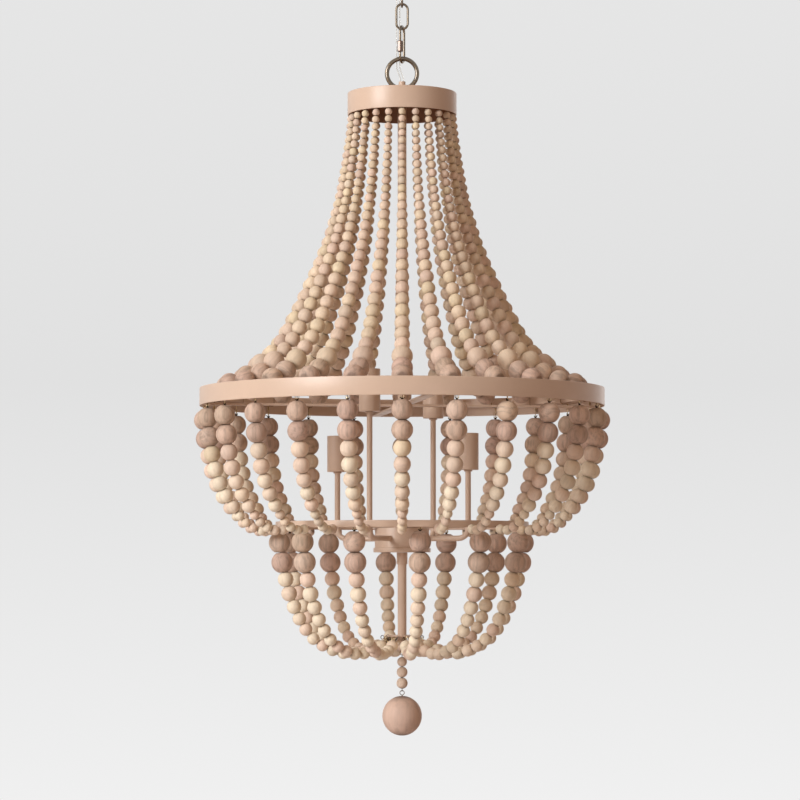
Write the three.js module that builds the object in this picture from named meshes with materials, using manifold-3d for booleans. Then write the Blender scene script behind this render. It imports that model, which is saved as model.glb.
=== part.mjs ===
import * as THREE from "three";
import { mergeVertices } from "three/addons/utils/BufferGeometryUtils.js";
import Module from "manifold-3d";

// A beaded chandelier on a short chain. Sizes are millimetres and +Z points up.
// The origin is the middle of the face that meets the ceiling. The front looks along -Y.

// Clearances
const clearance = 0.3; // between pieces that rest on or pass through each other
const overrun = 1; // how far a cut runs past the face that it opens
const mergeReach = 0.0003; // corners nearer than this are one corner

// Ceiling fitting
const strapLength = 104;
const strapWidth = 18;
const strapThickness = 3;
const canopyRadius = 65;
const canopyCrownRadius = 24;
const canopyDepth = 30;
const canopyWall = 1.2;
const nippleRadius = 5;
const nippleBoreRadius = 3.7;
const collarRadius = 8;
const collarHeight = 9;
const canopyRingRadius = 12; // to the middle of its wire
const canopyRingWire = 4;
const canopyRingSinkShare = 0.83; // how far below the collar the ring's middle lies

// Chain
const linkLength = 40;
const linkWidth = 20;
const linkWire = 3.5;
const quickLinkLength = 56;
const quickLinkWidth = 20.5;
const quickLinkWire = 3.7;
const quickLinkTurn = THREE.MathUtils.degToRad(20); // away from edge-on
const quickLinkGap = 6; // the opening that the sleeve closes
const sleeveAcrossCorners = 8.8;
const sleeveLength = 16;
const sleeveRise = 5.5; // its lower end above the end of the straight leg
const sleeveLap = 1.5; // how far the shut sleeve covers the leg below the gap

// Supply cord
const cordCoreSpacing = 4.4;
const cordCoreRadius = 1.1;
const cordWebThickness = 0.8;
const cordEndDepth = 12; // below the mouth of the lower nipple

// Hanging loop and cap
const loopRadius = 21.75; // to the middle of its bar
const loopBar = 6.5;
const shankRadius = 7.5;
const shankHeight = 4.3; // from the loop's underside to the cap
const nippleStandout = 6.6; // above the inside of the loop
const capRadius = 78.6;
const capHeight = 31.5;
const capWall = 2;

// Frame
const stemRadius = 6.35;
const ringDrop = 426.5; // cap top to main ring top
const ringRadius = 290;
const ringHeight = 25.7;
const ringWeb = 16;
const ringInnerLip = 12;
const ringWall = 2;
const spiderWidth = 14;
const spiderThickness = 3;
const spiderBossRadius = 13;
const spiderBossHeight = 8;
const spiderAngle = THREE.MathUtils.degToRad(8);
const hubDrop = 626; // cap top to hub top
const hubRadius = 39;
const hubHeight = 28.7;
const flangeRadius = 41;
const flangeHeight = 6.3;
const lowerRingRadius = 181;
const lowerRingHeight = 9.5;
const lowerRingWall = 2.5;
const lowerRingSink = 1; // its lower edge below the hub's top
const spokeWidth = 14;
const spokeThickness = 2.5;
const spokeBossRadius = 16;
const spokeAngle = THREE.MathUtils.degToRad(19);

// Candle arms
const armRadius = 4;
const armReach = 104;
const armBend = 17;
const armDrop = 15.4; // below the hub's top
const armCollarRadius = 6;
const armCollarHeight = 2;
const armTip = 7; // above the collar, through the cover's floor
const firstArmAngle = THREE.MathUtils.degToRad(-26);
const shortCoverRise = 81.5; // cover floor above the hub's top
const tallCoverRise = 161.7;
const shortCoverHeight = 52;
const tallCoverHeight = 60;
const coverRadius = 15;
const coverWall = 1.2;
const coverFloor = 2;
const socketRadius = 12;
const socketBoreRadius = 7;
const socketBoreDepth = 26;
const socketTopSink = 5; // socket rim below the cover's rim

// Below the hub
const couplerRadius = 7.75;
const couplerHeight = 16.7;
const lowerStemLength = 101;
const collectorRadius = 22;
const collectorThickness = 2;
const cupRadius = 9.5;
const cupDrop = 11.5; // collector's underside to the cup's middle
const eyeRadius = 3.15; // to the middle of its wire
const eyeWire = 1;
const eyeSinkShare = 0.7; // how much of its radius an eye lies under the bead's skin
const dropBeadSizes = [14, 15.5, 16];
const dropBeadGap = 0.1; // each bead laps its neighbour by this along the wire
const dropLoopRadius = 2.75;
const dropLoopRise = 1.2; // the loop's middle beyond the bead's skin
const ballRadius = 28.2;
const ballEyeRise = 4.4; // the eye's middle above the ball's skin

// Bead strands
const strandCount = 24;
const lowerPairCount = 6;
const wireRadius = 1.2;
const strandTopGap = 5.5; // cap's lower edge to the first bead's middle
const hangGap = 6; // wire seen between a ring and its first bead
const firstBeadInset = 0.6; // inside the hook, under the cap
const middleHangInset = 4.2; // inside the ring's inner face
const lowerHangInset = 3.8; // inside the middle of the lower ring's band
const largeBead = 27;
const upperRunStart = 10;
const upperRunEnd = 20;
const upperLargeShares = [1, 1, 1];
const middleBeadShares = [1, 1, 0.83, 0.8, 0.74, 0.71, 0.67];
const middleRunShare = 0.53;
const lowerBeadShares = [1.05, 1.05, 0.77, 0.77, 0.71, 0.67];
const lowerRunShare = 0.57;
const neckShare = 0.42; // of a bead's radius, where two beads meet
const cornerShare = 1.1; // a four-sided bead stands this far out at its corners
const strandSides = 4;
const lowerTierAngle = THREE.MathUtils.degToRad(8);

// The three profiles, as shares of the way out (first) and of the way down (second).
const upperProfileShares = [
  [0, 0],
  [0.03, 0.13],
  [0.071, 0.258],
  [0.121, 0.372],
  [0.186, 0.481],
  [0.272, 0.589],
  [0.377, 0.705],
  [0.498, 0.819],
  [0.628, 0.896],
  [0.753, 0.956],
  [0.886, 0.991],
  [1, 1],
];
const middleProfileShares = [
  [0, 0],
  [0.028, 0.176],
  [0.067, 0.326],
  [0.112, 0.463],
  [0.176, 0.59],
  [0.265, 0.707],
  [0.374, 0.816],
  [0.472, 0.904],
  [0.575, 0.971],
  [0.688, 1.017],
  [0.789, 1.034],
  [0.887, 1.03],
  [1, 1],
];
const lowerProfileShares = [
  [0, 0],
  [0.025, 0.182],
  [0.057, 0.333],
  [0.088, 0.457],
  [0.132, 0.574],
  [0.182, 0.685],
  [0.239, 0.778],
  [0.308, 0.864],
  [0.39, 0.926],
  [0.478, 0.969],
  [0.591, 1],
  [0.736, 0.99],
  [0.86, 0.95],
  [0.943, 0.9],
  [1, 0.84],
];
const lowerSag = 162; // first bead's middle to the lowest bead's middle

// Facets
const roundSides = 28;
const canopySides = 20;
const smallSides = 12;
const wireSides = 6;
const upperRunSteps = 5;
const middleRunSteps = 2;
const lowerRunSteps = 3;
const eyeSides = 10;
const eyeWireSides = 4;
const loopSides = 20;
const loopBarSides = 8;
const canopyRingSides = 18;
const ballSides = 18;
const ballRows = 10;
const dropBeadSides = 8;
const beadRows = 6;
const nutSides = 6;
const boreSteps = 5;
const ringSides = 40;
const domeSteps = 4;
const bendSteps = 6; // even, so that a bend has a facet corner at its crown

// Heights, worked out from the ceiling down
const strapUnderside = -strapThickness;
const collarTop = -canopyDepth - clearance;
const collarUnderside = collarTop - collarHeight;
const canopyRingMiddle = collarUnderside - canopyRingSinkShare * canopyRingRadius;
const canopyRingFloor = canopyRingMiddle - canopyRingRadius + canopyRingWire / 2;
const upperLinkTop = canopyRingFloor + clearance + linkWire;
const upperLinkFloor = upperLinkTop - linkLength + linkWire;
const lowerLinkTop = upperLinkFloor + clearance + linkWire;
const lowerLinkFloor = lowerLinkTop - linkLength + linkWire;
const quickLinkTop = lowerLinkFloor + clearance + quickLinkWire;
const quickLinkUnderside = quickLinkTop - quickLinkLength;
const quickLinkFloor = quickLinkUnderside + quickLinkWire;
const loopMiddle = quickLinkFloor + clearance - loopRadius + loopBar / 2;
const loopUnderside = loopMiddle - loopRadius - loopBar / 2;
const nippleTop = loopMiddle - loopRadius + loopBar / 2 + nippleStandout;
const capTop = loopUnderside - shankHeight;
const capUnderside = capTop - capHeight;
const ringTop = capTop - ringDrop;
const ringUnderside = ringTop - ringHeight;
const hubTop = capTop - hubDrop;
const flangeTop = hubTop - hubHeight;
const flangeUnderside = flangeTop - flangeHeight;
const lowerRingUnderside = hubTop - lowerRingSink;
const couplerTop = flangeUnderside - clearance;
const couplerUnderside = couplerTop - couplerHeight;
const collectorTop = couplerUnderside - lowerStemLength;
const collectorUnderside = collectorTop - collectorThickness;
const cupMiddle = collectorUnderside - cupDrop;
const cupEyeMiddle = cupMiddle - cupRadius - eyeSinkShare * eyeRadius;

// Materials
function finish(color, roughness, metalness) {
  return new THREE.MeshStandardMaterial({ color, roughness, metalness });
}
const frameFinish = finish(0xc4a080, 0.5, 0.3);
const brassFinish = finish(0xb08d50, 0.35, 0.9);
const steelFinish = finish(0xb5b5b0, 0.4, 0.9);
const woodFinish = finish(0xd6b795, 0.7, 0);
const largeWoodFinish = finish(0xb0927c, 0.7, 0);
const socketFinish = finish(0xe8e2d4, 0.6, 0);
const cordFinish = finish(0xd8d4cc, 0.3, 0);

const wasm = await Module();
wasm.setup();

// Joining and cutting
function solidOf(geometry) {
  const bare = geometry.clone();
  bare.deleteAttribute("normal");
  bare.deleteAttribute("uv");
  const merged = mergeVertices(bare, mergeReach);
  const corners = [];
  const index = merged.index.array;
  for (let i = 0; i < index.length; i += 3) {
    const [a, b, c] = index.slice(i, i + 3);
    if (a !== b && b !== c && c !== a) {
      corners.push(a, b, c);
    }
  }
  return new wasm.Manifold(
    new wasm.Mesh({
      numProp: 3,
      vertProperties: merged.attributes.position.array,
      triVerts: new Uint32Array(corners),
    }),
  );
}

function geometryOf(solid) {
  const mesh = solid.getMesh();
  const geometry = new THREE.BufferGeometry();
  geometry.setAttribute("position", new THREE.BufferAttribute(mesh.vertProperties, 3));
  geometry.setIndex(new THREE.BufferAttribute(mesh.triVerts, 1));
  geometry.computeVertexNormals();
  return geometry;
}

function joined(...geometries) {
  return geometries.map(solidOf).reduce((whole, piece) => whole.add(piece));
}

function piece(name, material, solid) {
  const mesh = new THREE.Mesh(geometryOf(solid), material);
  mesh.name = name;
  return mesh;
}

// Shapes
// A body turned about Z from an outline of [radius, height] points that closes on itself.
function turned(outline, sides = roundSides) {
  const points = [...outline, outline[0]].map(([r, z]) => new THREE.Vector2(r, z));
  return new THREE.LatheGeometry(points, sides).rotateX(Math.PI / 2);
}

// A cylinder about Z from its lower to its upper height.
function post(radius, low, high, sides = roundSides) {
  return new THREE.CylinderGeometry(radius, radius, high - low, sides)
    .rotateX(Math.PI / 2)
    .translate(0, 0, (low + high) / 2);
}

// A flat bar along X through the axis.
function bar(length, width, low, high) {
  return new THREE.BoxGeometry(length, width, high - low).translate(0, 0, (low + high) / 2);
}

// A round tube through stations in the XZ plane, each [x, z, radius].
function tube(stations, sides, closed = false) {
  const last = stations.length - 1;
  const positions = [];
  const index = [];
  stations.forEach(([x, z, radius], i) => {
    const before = stations[i === 0 ? (closed ? last : 0) : i - 1];
    const after = stations[i === last ? (closed ? 0 : last) : i + 1];
    const along = new THREE.Vector2(after[0] - before[0], after[1] - before[1]).normalize();
    for (let k = 0; k < sides; k++) {
      const turn = (2 * Math.PI * k) / sides;
      const across = radius * Math.cos(turn);
      positions.push(x + along.y * across, radius * Math.sin(turn), z - along.x * across);
    }
  });
  for (let i = 0; i < (closed ? last + 1 : last); i++) {
    const next = (i + 1) % stations.length;
    for (let k = 0; k < sides; k++) {
      const beside = (k + 1) % sides;
      const corners = [i * sides + k, i * sides + beside, next * sides + beside, next * sides + k];
      index.push(corners[0], corners[1], corners[2], corners[0], corners[2], corners[3]);
    }
  }
  if (!closed) {
    for (let k = 1; k < sides - 1; k++) {
      index.push(0, k + 1, k);
      index.push(last * sides, last * sides + k, last * sides + k + 1);
    }
  }
  const geometry = new THREE.BufferGeometry();
  geometry.setAttribute("position", new THREE.Float32BufferAttribute(positions, 3));
  geometry.setIndex(index);
  return geometry;
}

// Stations of constant radius along points of a curve in the XZ plane.
function stationsOf(points, radius) {
  return points.map((point) => [point.x, point.y, radius]);
}

// An oval chain link in the XZ plane, its upper end at the given height.
function linkPoints(top, length, width, wire) {
  const bend = (width - wire) / 2;
  const upper = top - wire / 2 - bend;
  const lower = top - length + wire / 2 + bend;
  const points = [];
  for (let i = 0; i <= bendSteps; i++) {
    const turn = (Math.PI * i) / bendSteps;
    points.push(new THREE.Vector2(bend * Math.cos(turn), upper + bend * Math.sin(turn)));
  }
  for (let i = 0; i <= bendSteps; i++) {
    const turn = (Math.PI * i) / bendSteps;
    points.push(new THREE.Vector2(-bend * Math.cos(turn), lower - bend * Math.sin(turn)));
  }
  return points;
}

// A wire ring in the XZ plane.
function ringAt(radius, wire, height, sides, wireSides) {
  const ring = new THREE.TorusGeometry(radius, wire / 2, wireSides, sides);
  return ring.rotateX(Math.PI / 2).translate(0, 0, height);
}

// The ceiling fitting
function mountingStrap() {
  const strap = bar(strapLength, strapWidth, strapUnderside, 0);
  const nipple = post(nippleRadius, collarUnderside, strapUnderside + overrun, smallSides);
  const bore = post(nippleBoreRadius, collarUnderside - overrun, strapUnderside, smallSides);
  return joined(strap, nipple).subtract(solidOf(bore));
}

function ceilingCanopy() {
  const outer = [];
  const inner = [];
  for (let i = 0; i <= domeSteps; i++) {
    const turn = (Math.PI / 2) * (i / domeSteps);
    const reach = canopyRadius - canopyCrownRadius;
    outer.push([canopyCrownRadius + reach * Math.cos(turn), -canopyDepth * Math.sin(turn)]);
    inner.push([
      canopyCrownRadius + (reach - canopyWall) * Math.cos(turn),
      -(canopyDepth - canopyWall) * Math.sin(turn),
    ]);
  }
  const bore = nippleRadius + clearance;
  outer.reverse();
  const crown = [bore, -canopyDepth + canopyWall];
  return solidOf(turned([[bore, -canopyDepth], ...outer, ...inner, crown], canopySides));
}

function canopyLoop() {
  const barrel = post(collarRadius, collarUnderside, collarTop, smallSides);
  const ring = ringAt(canopyRingRadius, canopyRingWire, canopyRingMiddle, canopyRingSides, wireSides);
  const bore = post(nippleRadius + clearance, canopyRingMiddle, collarTop + overrun, smallSides);
  return joined(barrel, ring).subtract(solidOf(bore));
}

// Chain
function chainLink(top) {
  const points = linkPoints(top, linkLength, linkWidth, linkWire);
  return solidOf(tube(stationsOf(points, linkWire / 2), wireSides, true));
}

const quickLinkBend = (quickLinkWidth - quickLinkWire) / 2;
const quickLegEnd = quickLinkUnderside + quickLinkWire / 2 + quickLinkBend;
const sleeveUnderside = quickLegEnd + sleeveRise;
const quickGapLow = sleeveUnderside + sleeveLap;

function quickLink() {
  const points = linkPoints(quickLinkTop, quickLinkLength, quickLinkWidth, quickLinkWire);
  const open = new THREE.Vector2(-quickLinkBend, quickGapLow + quickLinkGap);
  const shut = new THREE.Vector2(-quickLinkBend, quickGapLow);
  const half = bendSteps + 1;
  const path = [open, ...points.slice(0, half).reverse(), ...points.slice(half).reverse(), shut];
  return solidOf(tube(stationsOf(path, quickLinkWire / 2), wireSides));
}

function quickLinkSleeve() {
  const nut = new THREE.Shape();
  for (let k = 0; k < nutSides; k++) {
    const corner = new THREE.Vector2(sleeveAcrossCorners / 2, 0);
    corner.rotateAround(new THREE.Vector2(), (2 * Math.PI * k) / nutSides);
    nut[k === 0 ? "moveTo" : "lineTo"](corner.x, corner.y);
  }
  const bore = new THREE.Path();
  bore.absarc(0, 0, quickLinkWire / 2 + clearance, 0, 2 * Math.PI, true);
  nut.holes.push(bore);
  const settings = { depth: sleeveLength, bevelEnabled: false, curveSegments: boreSteps };
  return solidOf(
    new THREE.ExtrudeGeometry(nut, settings).translate(-quickLinkBend, 0, sleeveUnderside),
  );
}

// The cord runs beside the chain, from the upper nipple to the lower one.
const cordX = -5.6;
const cordY = 5.2;
const cordTop = strapUnderside - clearance;
const cordEnd = nippleTop - cordEndDepth;
const cordRoute = [
  [0, 0, cordTop],
  [0, 0, -39],
  [-1, 0.6, -43],
  [-2.8, 2.6, -47.5],
  [-4.9, 4.8, -53],
  [cordX, cordY, -58],
  [cordX, cordY, -90],
  [cordX, cordY, -124],
  [cordX, cordY, -176],
  [-5.2, 4.9, -183],
  [-3.4, 3, -189],
  [-1, 0.7, -196],
  [0, 0, -201],
  [0, 0, cordEnd],
];

function supplyCord() {
  const reach = cordCoreSpacing / 2 + cordCoreRadius;
  const section = [
    [reach, 0],
    [cordCoreSpacing / 2, cordCoreRadius],
    [0, cordWebThickness / 2],
    [-cordCoreSpacing / 2, cordCoreRadius],
    [-reach, 0],
    [-cordCoreSpacing / 2, -cordCoreRadius],
    [0, -cordWebThickness / 2],
    [cordCoreSpacing / 2, -cordCoreRadius],
  ];
  const sides = section.length;
  const positions = [];
  const index = [];
  const route = [...cordRoute].reverse();
  for (const [x, y, z] of route) {
    for (const [across, deep] of section) {
      positions.push(x + across, y + deep, z);
    }
  }
  for (let i = 0; i < route.length - 1; i++) {
    for (let k = 0; k < sides; k++) {
      const beside = (k + 1) % sides;
      const low = i * sides;
      const high = low + sides;
      index.push(low + k, low + beside, high + beside, low + k, high + beside, high + k);
    }
  }
  const topRing = (route.length - 1) * sides;
  const flat = section.map(([x, y]) => new THREE.Vector2(x, y));
  for (const [a, b, c] of THREE.ShapeUtils.triangulateShape(flat, [])) {
    index.push(a, c, b, topRing + a, topRing + b, topRing + c);
  }
  const geometry = new THREE.BufferGeometry();
  geometry.setAttribute("position", new THREE.Float32BufferAttribute(positions, 3));
  geometry.setIndex(index);
  return solidOf(geometry);
}

// Hanging loop, cap and stem
function hangingLoop() {
  const ring = ringAt(loopRadius, loopBar, loopMiddle, loopSides, loopBarSides);
  const shank = post(shankRadius, capTop + clearance, loopUnderside + loopBar + overrun, smallSides);
  const bore = post(nippleRadius + clearance, capTop - overrun, loopMiddle, smallSides);
  return joined(ring, shank).subtract(solidOf(bore));
}

function capBand() {
  const bore = nippleRadius + clearance;
  return solidOf(
    turned([
      [bore, capTop - capWall],
      [capRadius - capWall, capTop - capWall],
      [capRadius - capWall, capUnderside],
      [capRadius, capUnderside],
      [capRadius, capTop],
      [bore, capTop],
    ]),
  );
}

function centreStem() {
  const stem = post(stemRadius, hubTop + clearance, capTop - capWall - clearance, smallSides);
  const nipple = post(nippleRadius, capTop - capWall - overrun, nippleTop, smallSides);
  const bore = post(nippleBoreRadius, cordEnd - clearance, nippleTop + overrun, smallSides);
  return joined(stem, nipple).subtract(solidOf(bore));
}

// Rings
function mainRing() {
  const lipRadius = ringRadius - ringWeb;
  return solidOf(
    turned(
      [
        [lipRadius, ringTop - ringInnerLip],
        [lipRadius + ringWall, ringTop - ringInnerLip],
        [lipRadius + ringWall, ringTop - ringWall],
        [ringRadius - ringWall, ringTop - ringWall],
        [ringRadius - ringWall, ringUnderside],
        [ringRadius, ringUnderside],
        [ringRadius, ringTop],
        [lipRadius, ringTop],
      ],
      ringSides,
    ),
  );
}

// Two crossed bars with a boss that the stem passes through.
function cross(reach, width, low, high, bossRadius, bossHigh) {
  const across = bar(2 * reach, width, low, high);
  const along = bar(2 * reach, width, low, high).rotateZ(Math.PI / 2);
  const boss = post(bossRadius, low, bossHigh, smallSides);
  const bore = post(stemRadius + clearance, low - overrun, bossHigh + overrun, smallSides);
  return joined(across, along, boss).subtract(solidOf(bore));
}

// The flats between its facets lie inside a turned ring's stated radius.
const facetShare = Math.cos(Math.PI / ringSides);

function ringSpider() {
  const reach = (ringRadius - ringWall) * facetShare - clearance;
  const high = ringUnderside + spiderThickness;
  const corner = Math.sqrt(reach * reach - (spiderWidth / 2) ** 2);
  const bossHigh = ringUnderside + spiderBossHeight;
  return cross(corner, spiderWidth, ringUnderside, high, spiderBossRadius, bossHigh);
}

function lowerRing() {
  const inside = lowerRingRadius - lowerRingWall;
  const top = lowerRingUnderside + lowerRingHeight;
  const band = turned(
    [
      [inside, lowerRingUnderside],
      [lowerRingRadius, lowerRingUnderside],
      [lowerRingRadius, top],
      [inside, top],
    ],
    ringSides,
  );
  const low = hubTop + clearance;
  const high = low + spokeThickness;
  const reach = lowerRingRadius - lowerRingWall / 2;
  const spokes = cross(reach * facetShare, spokeWidth, low, high, spokeBossRadius, high);
  return spokes.add(solidOf(band.rotateZ(-spokeAngle)));
}

// Hub and what hangs from it
function hubCanister() {
  return solidOf(
    turned([
      [0, flangeUnderside],
      [flangeRadius, flangeUnderside],
      [flangeRadius, flangeTop],
      [hubRadius, flangeTop],
      [hubRadius, hubTop],
      [0, hubTop],
    ]),
  );
}

function lowerStem() {
  const coupler = post(couplerRadius, couplerUnderside, couplerTop, smallSides);
  const stem = post(stemRadius, cupMiddle, couplerUnderside + overrun, smallSides);
  const disc = post(collectorRadius, collectorUnderside, collectorTop, smallSides);
  const cup = new THREE.SphereGeometry(cupRadius, smallSides, beadRows).rotateX(Math.PI / 2);
  cup.translate(0, 0, cupMiddle);
  const eye = ringAt(eyeRadius, eyeWire, cupEyeMiddle, eyeSides, eyeWireSides);
  return joined(coupler, stem, disc, cup, eye);
}

// Candle arms
function armPoints(top) {
  const level = hubTop - armDrop;
  const path = new THREE.CurvePath();
  const start = new THREE.Vector2(hubRadius + clearance, level);
  const bendStart = new THREE.Vector2(armReach - armBend, level);
  const corner = new THREE.Vector2(armReach, level);
  const bendEnd = new THREE.Vector2(armReach, level + armBend);
  path.add(new THREE.LineCurve(start, bendStart));
  path.add(new THREE.QuadraticBezierCurve(bendStart, corner, bendEnd));
  path.add(new THREE.LineCurve(bendEnd, new THREE.Vector2(armReach, top)));
  return path.getPoints(bendSteps);
}

function candleArm(rise) {
  const seat = hubTop + rise - clearance;
  const arm = tube(stationsOf(armPoints(seat + armTip), armRadius), wireSides);
  const collar = post(armCollarRadius, seat - armCollarHeight, seat, smallSides);
  return joined(arm, collar.translate(armReach, 0, 0));
}

function socketCover(rise, height) {
  const floor = hubTop + rise;
  const cover = turned(
    [
      [armRadius + clearance, floor],
      [coverRadius, floor],
      [coverRadius, floor + height],
      [coverRadius - coverWall, floor + height],
      [coverRadius - coverWall, floor + coverFloor],
      [armRadius + clearance, floor + coverFloor],
    ],
    smallSides,
  );
  return solidOf(cover.translate(armReach, 0, 0));
}

function lampSocket(rise, height) {
  const seat = hubTop + rise + armTip;
  const rim = hubTop + rise + height - socketTopSink;
  const socket = turned(
    [
      [0, seat],
      [socketRadius, seat],
      [socketRadius, rim],
      [socketBoreRadius, rim],
      [socketBoreRadius, rim - socketBoreDepth],
      [0, rim - socketBoreDepth],
    ],
    smallSides,
  );
  return solidOf(socket.translate(armReach, 0, 0));
}

// Drop under the cup
const dropHingeHeight = cupEyeMiddle - eyeRadius;
const dropLoopTop = dropHingeHeight + eyeWire / 2 + clearance + eyeWire;
const dropLoopMiddle = dropLoopTop - dropLoopRadius - eyeWire / 2;
const dropBeadsTop = dropLoopMiddle - dropLoopRise;
const dropBeadsEnd = dropBeadsTop - dropBeadSizes.reduce((sum, size) => sum + size, 0);
const dropEndLoopMiddle = dropBeadsEnd + dropBeadGap * dropBeadSizes.length - dropLoopRise;
const ballHingeHeight = dropEndLoopMiddle - dropLoopRadius;
const ballEyeTop = ballHingeHeight + eyeWire / 2 + clearance + eyeWire;
const ballEyeMiddle = ballEyeTop - eyeRadius - eyeWire / 2;

function dropBeads() {
  const pieces = [dropLoopMiddle, dropEndLoopMiddle].map((height) =>
    ringAt(dropLoopRadius, eyeWire, height, eyeSides, eyeWireSides).rotateZ(Math.PI / 2),
  );
  let top = dropBeadsTop;
  for (const size of dropBeadSizes) {
    const bead = new THREE.SphereGeometry(size / 2, dropBeadSides, beadRows).rotateX(Math.PI / 2);
    pieces.push(bead.translate(0, 0, top - size / 2));
    top -= size - dropBeadGap;
  }
  return joined(...pieces);
}

function dropBall() {
  const ball = new THREE.SphereGeometry(ballRadius, ballSides, ballRows).rotateX(Math.PI / 2);
  const middle = ballEyeMiddle - ballEyeRise - ballRadius;
  const eye = ringAt(eyeRadius, eyeWire, ballEyeMiddle, eyeSides, eyeWireSides);
  const shank = post(eyeWire, middle + ballRadius - overrun, ballEyeMiddle - eyeRadius, wireSides);
  return joined(ball.translate(0, 0, middle), eye, shank);
}

// Bead strands
// The curve of a profile between two places, each [radius, height].
function profileCurve(shares, [startRadius, startHeight], [endRadius, endHeight], sag) {
  const fall = sag ?? startHeight - endHeight;
  return new THREE.SplineCurve(
    shares.map(
      ([out, down]) =>
        new THREE.Vector2(
          startRadius + out * (endRadius - startRadius),
          startHeight - down * fall,
        ),
    ),
  );
}

function stationAt(curve, distance, radius) {
  const point = curve.getPointAt(Math.min(1, Math.max(0, distance / curve.getLength())));
  return [point.x, point.y, radius * cornerShare];
}

// Two stations a bead: its waist where it meets the last one, and its middle.
function beadStations(curve, start, sizes) {
  const stations = [];
  let distance = start;
  for (const size of sizes) {
    stations.push(stationAt(curve, distance, (neckShare * size) / 2));
    stations.push(stationAt(curve, distance + size / 2, size / 2));
    distance += size;
  }
  return { stations, end: distance };
}

// Small beads read as one run that grows or shrinks along the wire.
function runStations(curve, start, end, startSize, endSize, steps) {
  const stations = [];
  for (let i = 0; i <= steps; i++) {
    const size = startSize + ((endSize - startSize) * i) / steps;
    stations.push(stationAt(curve, start + ((end - start) * i) / steps, size / 2));
  }
  return stations;
}

const wireCorner = wireRadius * cornerShare;

// One wire from the cap, behind the main ring's lip, down to the lower ring.
function mainStrand() {
  const hookRadius = (capRadius - capWall) * Math.cos(Math.PI / roundSides) - clearance - wireCorner;
  const firstBead = [hookRadius - firstBeadInset, capUnderside - strandTopGap];
  const lip = (ringRadius - ringWeb) * facetShare - clearance - wireCorner;
  const upper = profileCurve(upperProfileShares, firstBead, [lip, ringTop + overrun]);
  const large = upperLargeShares.map((share) => share * largeBead);
  const largeLength = large.reduce((sum, size) => sum + size, 0);
  const largeStart = upper.getLength() - largeLength - hangGap;
  const largeBeads = beadStations(upper, largeStart, large);
  const middleTop = [ringRadius - ringWall - middleHangInset, ringUnderside - hangGap - largeBead / 2];
  const lowerEnd = [lowerRingRadius + clearance + wireCorner, lowerRingUnderside + wireRadius];
  const middle = profileCurve(middleProfileShares, middleTop, lowerEnd);
  const sizes = middleBeadShares.map((share) => share * largeBead);
  const middleBeads = beadStations(middle, sizes[0] / 2, sizes.slice(1));
  const runSize = middleRunShare * largeBead;
  const runEnd = middle.getLength() - runSize / 2;
  return tube(
    [
      [hookRadius, capUnderside + strandTopGap, wireCorner],
      [hookRadius, capUnderside, wireCorner],
      ...runStations(upper, 0, largeStart - upperRunEnd / 2, upperRunStart, upperRunEnd, upperRunSteps),
      ...largeBeads.stations,
      stationAt(upper, largeBeads.end, wireRadius),
      [lip, ringTop - ringInnerLip, wireCorner],
      [middleTop[0], middleTop[1] + sizes[0] / 2, wireCorner],
      stationAt(middle, 0, sizes[0] / 2),
      ...middleBeads.stations,
      ...runStations(middle, middleBeads.end, runEnd, runSize, runSize, middleRunSteps),
      stationAt(middle, middle.getLength(), wireRadius),
    ],
    strandSides,
  );
}

// Two neighbouring strands of the lowest tier share a wire that loops under the collector disc.
function lowerPair() {
  const ringMiddle = lowerRingRadius - lowerRingWall / 2;
  const sizes = lowerBeadShares.map((share) => share * largeBead);
  const start = [ringMiddle - lowerHangInset, lowerRingUnderside - hangGap - sizes[0] / 2];
  const join = [collectorRadius - wireRadius, collectorUnderside - clearance - wireCorner];
  const curve = profileCurve(lowerProfileShares, start, join, lowerSag);
  const beads = beadStations(curve, sizes[0] / 2, sizes.slice(1));
  const runSize = lowerRunShare * largeBead;
  const runEnd = curve.getLength() - runSize;
  const strand = tube(
    [
      [ringMiddle, lowerRingUnderside - clearance, wireCorner],
      [ringMiddle, lowerRingUnderside - clearance - wireRadius, wireCorner],
      [start[0], start[1] + sizes[0] / 2, wireCorner],
      stationAt(curve, 0, sizes[0] / 2),
      ...beads.stations,
      ...runStations(curve, beads.end, runEnd, runSize, runSize, lowerRunSteps),
      stationAt(curve, runEnd + runSize / 2, wireRadius),
      [...join, wireCorner],
    ],
    strandSides,
  );
  const halfTurn = Math.PI / (2 * lowerPairCount);
  const span = 2 * join[0] * Math.sin(halfTurn);
  const wire = new THREE.BoxGeometry(2 * wireRadius, span, 2 * wireRadius);
  wire.translate(join[0] * Math.cos(halfTurn), 0, join[1]);
  return joined(strand.clone().rotateZ(halfTurn), strand.clone().rotateZ(-halfTurn), wire);
}

// Angles count from the front, -Y, towards +X.
function facing(mesh, angle) {
  mesh.rotation.z = angle - Math.PI / 2;
  return mesh;
}

const chandelier = new THREE.Group();
chandelier.name = "beaded_chandelier";

const ceiling = new THREE.Group();
ceiling.add(piece("mounting_strap", steelFinish, mountingStrap()));
ceiling.add(piece("ceiling_canopy", frameFinish, ceilingCanopy()));
ceiling.add(piece("canopy_loop", brassFinish, canopyLoop()));
ceiling.add(piece("supply_cord", cordFinish, supplyCord()));

const chain = new THREE.Group();
const upperLink = piece("upper_link", brassFinish, chainLink(upperLinkTop));
upperLink.rotation.z = Math.PI / 2;
const lowerLink = piece("lower_link", brassFinish, chainLink(lowerLinkTop));
chain.add(upperLink, lowerLink);
const quick = new THREE.Group();
quick.rotation.z = Math.PI / 2 - quickLinkTurn;
quick.add(piece("quick_link", brassFinish, quickLink()));
quick.add(piece("quick_link_sleeve", brassFinish, quickLinkSleeve()));
chain.add(quick);

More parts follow.
